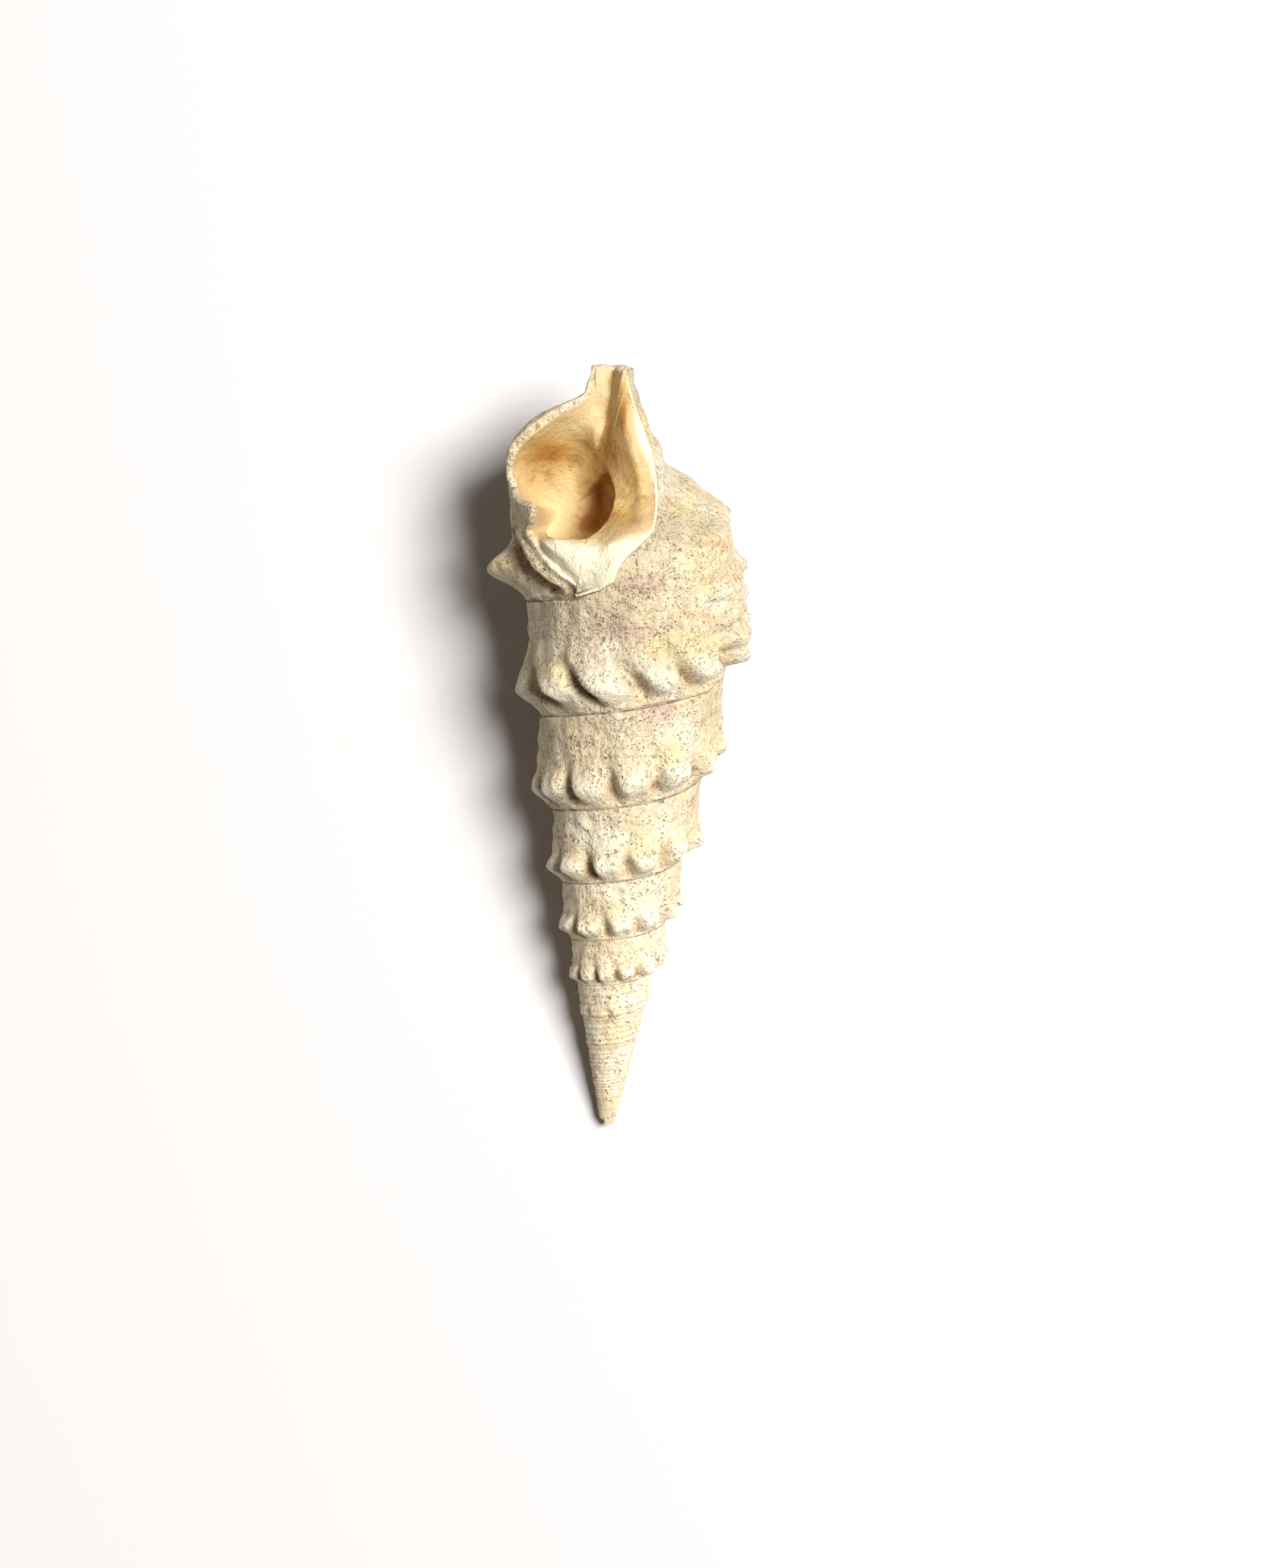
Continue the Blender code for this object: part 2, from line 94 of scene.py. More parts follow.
# %% [markdown]
# ## The spiral
#
# A shell grows at its mouth only. The growth angle says how far the animal had turned round the
# axis when it laid a point down; it is zero at the front of the last whorl, and lower towards the
# tip. In every full turn the suture, the seam between two whorls, gets 1.266 times as far from
# the tip. Its radius grows a little slower, which gives the spire its slightly bulging sides.

# %% Spiral
TURN = 360.0
WHORL_GROWTH = 1.266
SUTURE_HEIGHT = 27.87
SUTURE_RADIUS = 5.36
CONE_POWER = 0.916
FIRST_ANGLE = -4342.0
CORNER_ANGLE = 334.0
CANAL_HEIGHT = 46.7
SEAM_ANGLES = (0, 90, 180, 270, 330, 450, 540, 630, 690)
SEAM_SHARES = (1.0, 0.985, 0.95, 0.96, 0.96, 0.785, 0.91, 0.935, 0.935)
HEIGHT_SHARES = (1.0, 1.0, 1.0, 0.993, 0.988, 1.0, 0.985, 0.95, 0.94)


def suture_height(angle):
    """Height of the suture along the axis: the same factor in every turn, less at the last whorl's edge."""
    share = np.interp(angle, SEAM_ANGLES, HEIGHT_SHARES)
    return SUTURE_HEIGHT * WHORL_GROWTH ** (angle / TURN) * share


def seam_radius(angle):
    """Radius of the suture: a power of its height, times the last whorl's own share."""
    cone = SUTURE_RADIUS * WHORL_GROWTH ** (CONE_POWER * angle / TURN)
    return cone * np.interp(angle, SEAM_ANGLES, SEAM_SHARES)


print("whorls:", round((CORNER_ANGLE - FIRST_ANGLE) / TURN, 1))

# %% [markdown]
# ## Knobs
#
# About twelve knobs ring each whorl, close to its seam on the tip's side. They could be sculpted
# one by one, but then they would not grow with the shell. Here one wave runs round the whorl. It is
# 1 on a knob and 0 between two knobs, its older flank is the steep one, and its crests lean back, so
# that the grooves run obliquely as they do on the fossil. The knobs that are seen have their own
# growth angles, and between those they are evenly spaced. Slow waves, summed from a few sines,
# make them unequal. The young whorls near the tip have fine raised cords instead of knobs.

# %% Slow waves
def slow_waves(a, b, seed, count=9, low=0.6, high=3.2):
    """Sum of sine waves of two coordinates, with seeded directions, lengths and phases, about -1 to 1."""
    rng = np.random.default_rng(seed)
    total = 0.0
    for _ in range(count):
        pitch = rng.uniform(low, high)
        heading = rng.uniform(0, np.pi)
        phase = rng.uniform(0, 2 * np.pi)
        total = total + np.sin(pitch * (a * np.cos(heading) + b * np.sin(heading)) + phase)
    return total / np.sqrt(count)


print("slow waves at the start:", round(float(slow_waves(0.0, 0.0, 3)), 2))

# %% Knobs and spine
KNOB_ANGLES = (-4400, -1835, -1797, -1483, -1429, -1150, -1080, -800, -735, -418, -358, -83,
               -45, -17, 14, 40, 74, 268, 330)
KNOB_NUMBERS = (-130, -59, -58, -47, -45, -36, -34, -25, -23, -13, -11, -2, -1, 0, 1, 2, 3, 9, 10.5)
KNOB_HEIGHT, KNOB_PLACE = 0.86, 0.25
KNOB_BELOW, KNOB_ABOVE = 0.13, 0.19
KNOB_STEEP = 0.80
CREST_LEAN, FRONT_LEAN = 14.0, 40.0
FIRST_KNOB_ANGLE = -2400
GULLY_DEPTH = 0.30
RIB_HEIGHT, RIB_PLACE = 0.15, 0.62
SPINE_HEIGHT, SPINE_ANGLE, SPINE_PLACE = 0.45, 268, 0.30


def knob_wave(angle, place):
    """1 on a knob's crest, 0 between knobs: a cosine with a steep older flank, and crests that lean back."""
    lean = CREST_LEAN + FRONT_LEAN * smooth((angle + 150) / 100) * smooth((110 - angle) / 60)
    lean = lean * (np.clip(place, 0, 0.5) - KNOB_PLACE)
    turn = 2 * np.pi * np.interp(angle + lean, KNOB_ANGLES, KNOB_NUMBERS)
    return (0.5 + 0.5 * np.cos(turn + KNOB_STEEP * (np.cos(turn) - 1))) ** 1.3


def knobs(angle, place):
    """Height of the knobs in mm: the wave round the whorl times a lopsided bell across it, and a low rib."""
    width = np.where(place < KNOB_PLACE, KNOB_BELOW, KNOB_ABOVE)
    row = bell((place - KNOB_PLACE) / width) + RIB_HEIGHT * bell((place - RIB_PLACE) / 0.20)
    size = WHORL_GROWTH ** (0.95 * angle / TURN) * smooth((angle - FIRST_KNOB_ANGLE) / 1300)
    size = size * (1 + 0.3 * bell((angle - 76) / 16)) * (1 - 0.9 * smooth((angle - 272) / 30))
    size = size * (1 + 0.22 * slow_waves(angle / 30, place, 3)) * (1 + 0.40 * bell((angle + 38) / 35))
    spine = SPINE_HEIGHT * bell((angle - SPINE_ANGLE) / 9.0) * bell((place - SPINE_PLACE) / 0.13)
    wave = knob_wave(angle, place)
    gully = GULLY_DEPTH * (1 - wave) ** 4 * bell((place - 0.20) / 0.13)
    return KNOB_HEIGHT * size * ((wave - 0.10) * row - gully) * smooth(place / 0.06) + spine


first_number, last_number = np.interp((CORNER_ANGLE - TURN, CORNER_ANGLE), KNOB_ANGLES, KNOB_NUMBERS)
print("knobs in the last turn:", round(float(last_number - first_number), 1))

# %% Cords
CORDS = 5
TIP_CORD, FAINT_CORD, LAST_CORD = 0.055, 0.016, 0.23


def cords(angle, place):
    """Raised spiral threads: a cosine across the whorl, strong near the tip and on the last whorl's right."""
    strength = TIP_CORD * (1 - smooth((angle + 1900) / 900)) + FAINT_CORD
    strength = strength * WHORL_GROWTH ** (0.5 * angle / TURN)
    strength = strength + LAST_CORD * smooth((angle - 25) / 35) * smooth((250 - angle) / 60)
    return strength * np.cos(2 * np.pi * (CORDS * place + 0.15))


print("height of the last whorl's cords, mm:", LAST_CORD)

# %% [markdown]
# ## Sides and base of the whorls
#
# Across one whorl the profile climbs from the suture to the wall and then runs almost straight to
# the next suture, which is a thin crack. A fixed profile, carried along the spiral, would give a
# step like a ring. So the climb is short and steep on a knob and a long ramp between two knobs, and
# the young whorls near the tip have no step at all. Where the last whorl meets the mouth, its edge is
# folded into a flange with a deep groove behind it. Past the last seam the base falls in an S to
# the neck and the canal.

# %% Folded edge of the lip
LIP_PLACES = (0.0, 0.05, 0.10, 0.14, 0.20, 0.31, 0.44, 0.53, 0.585, 0.66, 0.74, 0.775, 0.79, 0.805, 0.86,
              0.90, 0.98, 1.075, 1.205, 1.34, 1.53, 1.685, 1.80, 2.0)
LIP_ANGLES = (326, 328, 328, 326, 321, 314, 304.5, 297, 295, 302, 306.5, 306, 299, 294, 286,
              281, 277, 278, 282, 283, 288, 290, 284, 274)
LIP_GROOVE, LIP_FOLD, LIP_DIP, LIP_DROP = 0.85, 0.40, 0.10, 0.50


def before_lip(angle, place):
    """How many degrees of growth a point lies before the outer lip's edge."""
    return np.interp(place, LIP_PLACES, LIP_ANGLES) - angle


def flange(angle, place):
    """The lip's folded edge: bells for a groove, a fold after it and a small dip, on a side that drops."""
    before = before_lip(angle, place)
    groove = -LIP_GROOVE * bell((before - 17) / 6.5)
    fold = LIP_FOLD * bell((before - 8.0) / 3.0) - LIP_DIP * bell((before - 3.4) / 1.5)
    drop = -LIP_DROP * smooth((32 - before) / 18)
    low = 1 - smooth((place - 0.5) / 0.22)
    return (drop + (groove + fold) * smooth(place / 0.12)) * low * (angle > 250)


print("the lip's edge lies between the angles", min(LIP_ANGLES), "and", max(LIP_ANGLES))

# %% Whorl side
FIRST_STEP_ANGLE = -2200
RAMP_ON_KNOB, RAMP_BETWEEN = 0.23, 0.55
SWELL = 0.195
CRACK, LEDGE, UNEVEN = 0.09, 0.05, 0.06


def grown_up(angle):
    """0 on the young whorls near the tip, 1 on the others, by an S."""
    return smooth((angle - FIRST_STEP_ANGLE) / 900)


def climb(angle, place):
    """Share of the step from suture to wall: part straight, part S, over a ramp that is short on a knob."""
    grown = grown_up(angle)
    wave = knob_wave(angle, place) * (1 - smooth((angle - 255) / 30)) + 0.7 * smooth((angle - 255) / 30)
    ramp = RAMP_BETWEEN + (RAMP_ON_KNOB - RAMP_BETWEEN) * wave
    share = np.clip(place / ramp, 0, 1)
    stepped = 0.3 * share + 0.7 * smooth(share)
    return stepped * grown + place ** 0.85 * (1 - grown)


def side(angle, place):
    """Radius and height of the side: from suture to suture along the climb, plus knobs, cords and crack."""
    low = seam_radius(angle)
    high = seam_radius(angle + TURN)
    height = suture_height(angle) * (suture_height(angle + TURN) / suture_height(angle)) ** place
    swell = SWELL * smooth(angle / 90) * (1 - 0.9 * smooth((angle - 190) / 60)) - 0.04
    radius = low + (high * (1 + swell * (1 - place) * 4 * place) - low) * climb(angle, place)
    scale = WHORL_GROWTH ** (angle / TURN)
    grown = grown_up(angle)
    crack = CRACK * scale * (bell(place / 0.010) + bell((1 - place) / 0.008))
    ledge = LEDGE * scale * bell((place - 0.03) / 0.014)
    unevenness = UNEVEN * scale * slow_waves(angle / 9, place * 9, 5) * smooth(place / 0.1)
    fade = smooth((1 - place) / 0.2)
    radius = radius - crack * (0.45 + 0.55 * grown) + ledge * grown
    relief = (knobs(angle, place) + cords(angle, place) + unevenness) * fade
    return radius + relief + flange(angle, place), height


print("radius on a knob and beside it, mm:", side(np.array((-17.0, -31.0)), KNOB_PLACE)[0].round(2))

# %% Base of the last whorl
BASE_ANGLES = (-40, 90, 180, 285)
BASE_HALVES = (0.30, 0.140, 0.40, 0.52)
BASE_SHARPNESS = 4.6
LIP_FALL_END, LIP_FALL_POWER = 0.785, 2.3
CANAL_RADIUS, NECK_RADIUS = 1.2, 0.85
CANAL_FLARE = 0.115
BASE_RIDGE, BASE_RIDGES = 0.15, 9.0
CANAL_BEND = 1.8


def base(angle, down):
    """Radius and height of the base: the seam's radius falls in an S, or near the lip in a rounder curve."""
    top_radius = seam_radius(angle + TURN)
    top_height = suture_height(angle + TURN)
    half = np.interp(angle, BASE_ANGLES, BASE_HALVES)
    last = 1 / (1 + (1 / half) ** BASE_SHARPNESS)
    steep = (1 / (1 + (down / half) ** BASE_SHARPNESS) - last) / (1 - last)
    round_fall = np.clip(1 - (down / LIP_FALL_END) ** LIP_FALL_POWER, 0, 1)
    round_fall = np.hypot(round_fall, CANAL_FLARE * smooth((1 - down) / 0.32))
    near_lip = smooth((angle - 190) / 70)
    share = steep + (round_fall - steep) * near_lip
    neck = CANAL_RADIUS + NECK_RADIUS * smooth((1 - down) / 0.55) * smooth((210 - angle) / 120)
    radius = neck + (top_radius - neck) * share
    ridges = BASE_RIDGE * np.cos(2 * np.pi * down * BASE_RIDGES)
    ridges = ridges * smooth(down / 0.08) * smooth((0.5 - down) / 0.2)
    ridges = ridges * smooth((angle - 25) / 40) * smooth((240 - angle) / 40)
    return radius + ridges, top_height + (CANAL_HEIGHT - top_height) * down


def bend(height):
    """Shift of the canal to the left of the axis, an S that starts above the mouth's middle."""
    return CANAL_BEND * smooth((height - 38.5) / 8.2)


print("radius of the canal's end, mm:", CANAL_RADIUS, " its shift, mm:", CANAL_BEND)

# %% [markdown]
# ## From growth to space
#
# The shell lies with its mouth end raised by about twelve degrees, because it rests on the wide
# last whorls and on the thin spire. Turning the finished object would move its origin, so the turn is
# in the numbers instead. Every shape above is given as turn angle, radius and height along the
# axis, and one function places them all.

# %% Place in space
LEAN, RISE = np.radians(2.8), np.radians(11.8)
VIRTUAL_TIP = np.array((-0.38, -23.73, 0.28))
ALONG = np.array((np.sin(LEAN) * np.cos(RISE), np.cos(LEAN) * np.cos(RISE), np.sin(RISE)))
RIGHT = np.array((np.cos(LEAN), -np.sin(LEAN), 0.0))
FRONT = np.cross(RIGHT, ALONG)


def place_in_space(angle, radius, height):
    """x, y, z in mm: up the axis by the height, then out by the radius at the turn angle."""
    turn = np.radians(angle)
    across = radius * np.sin(turn) - bend(height)
    forward = radius * np.cos(turn)
    point = height[..., None] * ALONG + across[..., None] * RIGHT + forward[..., None] * FRONT
    return point + VIRTUAL_TIP


print("direction of the axis:", ALONG.round(3))

# %% [markdown]
# ## Outer grid
#
# The outside is one ribbon, wound round the axis. Its far edge is the near edge of the next turn,
# so the two share their points and the seam is closed. Only the last turn has a free far edge, and
# the base hangs on that. Near the mouth the columns are pulled round, so that they end at the outer
# lip on one side and where the callus begins on the other. The callus is the white layer that the
# animal spread over the older whorl. The outer lip is broken: its edge steps back at the notch and
# is whole again past it.

# %% Where the ribbon ends
CALLUS_DOWN = (0.0, 0.015, 0.05, 0.105, 0.15, 0.18, 0.21, 0.225, 0.26, 0.345, 0.54, 0.725, 0.9, 1.0)
CALLUS_ANGLES = (-26, -17, -10, -7.5, -3.5, 1, 9, 15, 20.5, 33.5, 49.5, 57, 57, 52)


def warped(angle, place):
    """Growth angle moved by two S curves, so that the last turn starts at the callus and ends at the lip."""
    lip = before_lip(CORNER_ANGLE, place)
    callus = np.interp(place - 1, CALLUS_DOWN, CALLUS_ANGLES) - (CORNER_ANGLE - TURN)
    callus = callus * (place > 1)
    near_lip = smooth((angle - CORNER_ANGLE + 110) / 110)
    near_callus = smooth((CORNER_ANGLE - TURN + 170 - angle) / 170) * (angle >= CORNER_ANGLE - TURN)
    return angle + lip * near_lip + callus * near_callus


print("the callus reaches round to the angle", max(CALLUS_ANGLES))

# %% Grid of the outside
COLUMNS = 168
ROWS = np.array((0, .008, .018, .032, .05, .075, .105, .135, .165, .2, .235, .27, .305, .34, .38, .42,
                 .46, .5, .55, .6, .65, .7, .74, .775, .79, .815, .86, .91, .96, .985))
DOWN = np.concatenate((np.linspace(0, 0.3, 19)[1:], np.linspace(0.3, 1.0, 27)[1:]))


def outside():
    """Points and (angle, place) of the whorls, columns by rows, and of the base of the last turn."""
    count = int(round((CORNER_ANGLE - FIRST_ANGLE) / TURN * COLUMNS))
    angles = CORNER_ANGLE - TURN / COLUMNS * np.arange(count, -1, -1)
    angle, place = np.meshgrid(angles, ROWS, indexing="ij")
    angle = warped(angle, place)
    whorls = place_in_space(angle, *side(angle, place)), angle, place
    angle, place = np.meshgrid(angles[-COLUMNS - 1:], 1 + np.concatenate(([0.0], DOWN)), indexing="ij")
    angle = warped(angle, place)
    return whorls, (place_in_space(angle, *base(angle, place - 1)), angle, place)


whorl_part, base_part = outside()
print("whorl grid:", whorl_part[0].shape[:2], " base grid:", base_part[0].shape[:2])

# %% [markdown]
# ## Mouth
#
# The mouth has no simple rule: a canal with a ridge beside it, a white crest and a funnel that
# goes down into the throat. All of it faces up, so it is easiest to give as a height over the floor.
# A thin-plate spline is the surface that a springy sheet would take if it were held at a few
# heights. Each group of points below holds it in one part of the mouth.

# %% Thin-plate sheet
HEIGHTS = np.array((
    # end of the canal: floor, trough, ridge, right wall
    (-0.53, 21.39, 9.75), (0.10, 21.40, 9.60), (0.69, 21.24, 10.70), (1.04, 21.27, 10.65),
    # middle of the canal
    (-0.75, 19.33, 9.25), (-0.24, 19.34, 9.10), (0.45, 19.20, 10.20), (0.95, 19.07, 10.75),
    (1.60, 19.0, 10.45),
    # where the canal opens into the funnel
    (-1.10, 17.90, 8.70), (-0.60, 17.9, 8.75), (0.40, 17.3, 9.80), (1.34, 16.89, 10.60), (2.20, 16.45, 10.75),
    # right side of the funnel
    (2.50, 14.93, 11.00), (1.12, 14.82, 9.95), (1.80, 14.9, 10.40),
    # white crest, and the slope from it into the funnel
    (2.67, 12.91, 12.10), (1.98, 12.42, 12.85), (1.0, 13.1, 11.20), (0.85, 12.2, 12.9), (-0.16, 11.63, 13.25),
    (-1.87, 11.74, 12.95), (-2.95, 11.85, 12.60),
    # white pad
    (0.48, 10.88, 13.60), (-0.79, 10.46, 13.35), (-1.44, 9.63, 12.85), (-1.75, 9.0, 12.4)))


def plate(r):
    """The thin-plate kernel: distance squared times its logarithm."""
    return r * r * np.log(r + 1e-9)


def sheet_height(x, y, held):
    """Height of a springy sheet through the held points: kernels of their distances plus a plane."""
    def spread(a, b):
        return plate(np.hypot(a[..., None, 0] - b[:, 0], a[..., None, 1] - b[:, 1]))
    count = len(held)
    flat = np.column_stack((np.ones(count), held[:, :2]))
    left = np.block([[spread(held, held), flat], [flat.T, np.zeros((3, 3))]])
    weight = np.linalg.solve(left, np.concatenate((held[:, 2], np.zeros(3))))
    spot = np.stack((x, y), axis=-1)
    return spread(spot, held) @ weight[:count] + weight[count] + spot @ weight[count + 1:]


crest_height = sheet_height(np.array(-0.16), np.array(11.63), HEIGHTS)
print("height of the crest, mm:", round(float(crest_height), 2))

# %% [markdown]
# ## Edge of the throat
#
# The throat has two kinds of edge. Under the canal and the inner lip it is a sharp crescent, seen
# against the dark hollow behind it, and it is given by direction, distance and height. Below the
# outer lip there is no edge: the wall runs straight down into the bowl. One S curve of the
# direction blends the two. The directions are made to fall all the way round, which keeps the
# rings between the rim and the throat from folding over each other.

# %% Directions and walls
THROAT = np.array((-0.86, 14.63))
EDGE_DIRECTIONS = (-140, -130, -116, -99, -92, -75, -50, -15, 22, 47, 65, 83, 110, 140, 209)
EDGE_DISTANCES = (3.6, 3.39, 2.83, 2.51, 2.19, 1.71, 1.23, 1.03, 1.13, 1.34, 1.70, 2.45, 3.4, 3.6, 3.6)
EDGE_HEIGHTS = (12.0, 12.5, 12.4, 12.2, 11.8, 11.0, 10.3, 9.9, 9.5, 9.2, 8.9, 8.3, 7.6, 7.6, 10.2)
LEAST_FALL = 0.08
BOWL = np.array((-2.45, 14.45))
BOWL_HEIGHT, BOWL_SHARE = 5.7, 0.34
WALL_DIRECTIONS = (-140, 95, 165, 190, 220)
WALL_POWERS = (5.0, 2.0, 2.4, 5.0, 6.0)


def directions(edge):
    """Directions from the throat's centre in degrees, each at least a little less than the one before."""
    turn = np.unwrap(np.arctan2(edge[:, 1] - THROAT[1], edge[:, 0] - THROAT[0]))
    least_fall = LEAST_FALL * np.arange(len(edge))
    return np.minimum.accumulate(np.degrees(turn) + least_fall) - least_fall


def softness(heading):
    """1 where the outer lip runs straight down into the bowl, 0 over the canal and the inner lip."""
    heading = heading % TURN
    return smooth((heading - 84) / 40) * smooth((226 - heading) / 22)


def openness(heading):
    """1 where the bowl's wall is seen from above, 0 along the sharp crescent that hides it."""
    heading = heading % TURN
    return smooth((heading - 50) / 24) * smooth((226 - heading) / 22)


def bowl_height(start, share, heading):
    """Height of the bowl's wall: what is left of the way, to a power, so it is steep and then levels."""
    power = np.interp(heading, WALL_DIRECTIONS, WALL_POWERS, period=360)
    return BOWL_HEIGHT + (start - BOWL_HEIGHT) * (1 - share) ** power


def throat_edge(inner, heading):
    """The throat's edge for each point of the inner edge: the crescent, or a share of the way to the bowl."""
    away = np.interp(heading, EDGE_DIRECTIONS, EDGE_DISTANCES, period=360)
    height = np.interp(heading, EDGE_DIRECTIONS, EDGE_HEIGHTS, period=360)
    turn = np.radians(heading)
    sharp = np.column_stack((THROAT[0] + away * np.cos(turn), THROAT[1] + away * np.sin(turn), height))
    spot = inner[:, :2] + (BOWL - inner[:, :2]) * BOWL_SHARE
    soft = np.column_stack((spot, bowl_height(inner[:, 2], BOWL_SHARE, heading)))
    return sharp + (soft - sharp) * softness(heading)[:, None]


print("bowl below the crescent's edge, mm:", round(min(EDGE_HEIGHTS) - BOWL_HEIGHT, 1), "or more")

# %% [markdown]
# ## Lip and inner edge
#
# The outer lip is a wall with a thickness: thin at the corner, thickest on the way to the canal.
# Moving the rim inwards by that thickness gives the inner edge. The canal's end is broken off, so
# there the inner edge is a small outline of its own. The callus is thin and has only a low step.

# %% Inner edge
LIP_THICK_PLACES = (0.0, 0.15, 0.5, 0.8, 1.2, 1.45, 1.7, 2.0)
LIP_THICK = (0.15, 0.30, 0.32, 0.36, 0.40, 0.62, 0.42, 0.25)
TIP_ACROSS = (-0.95, -0.7, -0.3, 0.12, 0.35, 0.65, 0.92)
TIP_FORWARD = (0.10, -0.22, -0.36, -0.46, 0.10, 0.82, 0.58)
CALLUS_THICK = 0.16
CALLUS_STEP, NECK_STEP, LIP_STEP = 0.13, 0.02, -0.06
CORNER_TAPER = 1.8


def inner_edge(rim):
    """The rim moved inwards by its thickness, another outline at the canal's end; and the corner's taper."""
    lip_count = len(ROWS) + 1 + len(DOWN)
    tip_count = COLUMNS
    ahead = np.roll(rim, -2, axis=0) - np.roll(rim, 2, axis=0)
    inward = np.column_stack((ahead[:, 1], -ahead[:, 0]))
    inward = inward / np.maximum(np.hypot(*inward.T), 1e-6)[:, None]
    places = np.concatenate((ROWS, [1.0], 1 + DOWN))
    thick = np.full(len(rim), CALLUS_THICK)
    thick[:lip_count] = np.interp(places, LIP_THICK_PLACES, LIP_THICK)
    step = CALLUS_STEP + (NECK_STEP - CALLUS_STEP) * smooth((rim[:, 1] - 13.2) / 2.0)
    step[:lip_count] = LIP_STEP
    taper = smooth(np.hypot(*(rim[:, :2] - rim[0, :2]).T) / CORNER_TAPER)
    thick = thick * (0.1 + 0.9 * taper)
    edge = np.column_stack((rim[:, :2] + inward * thick[:, None], rim[:, 2] + step * taper))
    share = np.linspace(0, 1, tip_count + 2)[1:-1]
    across = np.interp(share, np.linspace(0, 1, len(TIP_ACROSS)), TIP_ACROSS)
    forward = np.interp(share, np.linspace(0, 1, len(TIP_ACROSS)), TIP_FORWARD)
    turn = np.degrees(np.arctan2(across, forward))
    tip = place_in_space(turn, np.hypot(across, forward), CANAL_HEIGHT - 0.08 + 0 * across)
    edge[lip_count:lip_count + tip_count] = tip
    return edge, taper


print("thickness of the lip, mm:", min(LIP_THICK), "to", max(LIP_THICK))

# %% [markdown]
# ## Rings over the mouth
#
# The surface of the mouth is rings of points, one inside the other, like contour lines: four from
# the rim over the rounded lip to the inner edge, and then many over the sheet to the throat's edge.
# A ring has as many points as the rim, so the mouth joins the outside without a gap. A narrow fold
# runs down the trough of the canal, and it is cut by how far a point is from the trough's line.

# %% Mouth surface
TROUGH = ((0.16, 21.9), (0.1, 21.0), (-0.2, 19.9), (-0.35, 19.0), (-0.6, 18.2), (-0.95, 17.3))
TROUGH_WIDTH, TROUGH_DEPTH = 0.24, 0.28
LIP_BULGE, END_BULGE = 0.07, 0.16
RINGS = 44
UP = np.array((0.0, 0.0, 1.0))


def distance_to(x, y, path):
    """Distance of x, y from a line through the path's points: the least over its straight pieces."""
    best = np.full(np.shape(x), np.inf)
    for (ax, ay), (bx, by) in zip(path[:-1], path[1:]):
        length = (bx - ax) ** 2 + (by - ay) ** 2
        t = np.clip(((x - ax) * (bx - ax) + (y - ay) * (by - ay)) / length, 0, 1)
        best = np.minimum(best, np.hypot(x - ax - t * (bx - ax), y - ay - t * (by - ay)))
    return best


def mouth(rim):
    """Rings from the rim over a rounded lip, a parabola, and then over the sheet to the throat's edge."""
    inner, taper = inner_edge(rim)
    heading = directions(inner)
    throat = throat_edge(inner, heading)
    soft = softness(heading)
    at_end = smooth(((rim - VIRTUAL_TIP) @ ALONG - CANAL_HEIGHT + 0.5) / 0.45)[:, None]
    on_lip = np.where(np.arange(len(rim)) <= len(ROWS) + len(DOWN), 1.0, 0.2)[:, None]
    rings = []
    for share in (0.2, 0.5, 0.8, 1.0):
        bulge = LIP_BULGE * UP * on_lip
        bulge = bulge + (END_BULGE * ALONG - bulge) * at_end
        rings.append(rim + (inner - rim) * share + bulge * 4 * share * (1 - share))
    held = np.concatenate((HEIGHTS, throat[soft < 0.5][::12]))
    at_inner = sheet_height(inner[:, 0], inner[:, 1], held)
    at_throat = sheet_height(throat[:, 0], throat[:, 1], held)
    for share in np.linspace(0, 1, RINGS + 1)[1:]:
        spot = inner + (throat - inner) * share
        height = sheet_height(spot[:, 0], spot[:, 1], held)
        height = height + (inner[:, 2] - at_inner) * (1 - smooth(share / (0.05 + 0.40 * taper)))
        height = height + (throat[:, 2] - at_throat) * smooth((share - 0.5) / 0.5)
        fold = np.exp(-(distance_to(spot[:, 0], spot[:, 1], TROUGH) / TROUGH_WIDTH) ** 1.5)
        height = height - TROUGH_DEPTH * fold * smooth(share / 0.05) * smooth((1 - share) / 0.2)
        height = height + (bowl_height(inner[:, 2], BOWL_SHARE * share, heading) - height) * soft
        rings.append(np.column_stack((spot[:, :2], height)))
    return rings, heading


print("rings over the mouth:", 4 + RINGS)

# %% [markdown]
# ## Bowl under the inner lip
#
# Seen from above, the dark of the mouth is where the wall goes back under the crescent. So the
# rings first run outwards below its edge, along half a sine, and then in to the middle of the floor.
# Where the wall is open to view they run straight down it. What lies past the bowl can't be seen,
# and the fossil is filled there.

# %% Bowl
BOWL_RINGS = 22
UNDERCUT = 1.25


def bowl(edge, heading):
    """Rings from the throat's edge to the floor's middle: back under the crescent, or down the open wall."""
    outward = edge[:, :2] - BOWL
    outward = outward / np.hypot(*outward.T)[:, None]
    opened = openness(heading)
    rings = []
    for share in np.linspace(0, 1, BOWL_RINGS + 1)[1:-1]:
        along = edge[:, :2] + (BOWL - edge[:, :2]) * share
        below = edge[:, :2] + outward * UNDERCUT * np.sin(np.pi * min(share / 0.42, 1.0))
        below = below + (BOWL - edge[:, :2]) * smooth((share - 0.22) / 0.78)
        wall = bowl_height(edge[:, 2], share, heading)
        fall = edge[:, 2] + (BOWL_HEIGHT - edge[:, 2]) * smooth(share / 0.5)
        spot = below + (along - below) * opened[:, None]
        rings.append(np.column_stack((spot, fall + (wall - fall) * opened)))
    return rings, np.array((*BOWL, BOWL_HEIGHT))


print("rings in the bowl:", BOWL_RINGS - 1)

# %% [markdown]
# ## One closed skin
#
# Separate pieces laid edge to edge would show a gap and leave the mesh open. So the grids become one
# mesh: their points are numbered, quads are made between neighbours, and fans of triangles close
# the blunt tip and the middle of the bowl's floor.

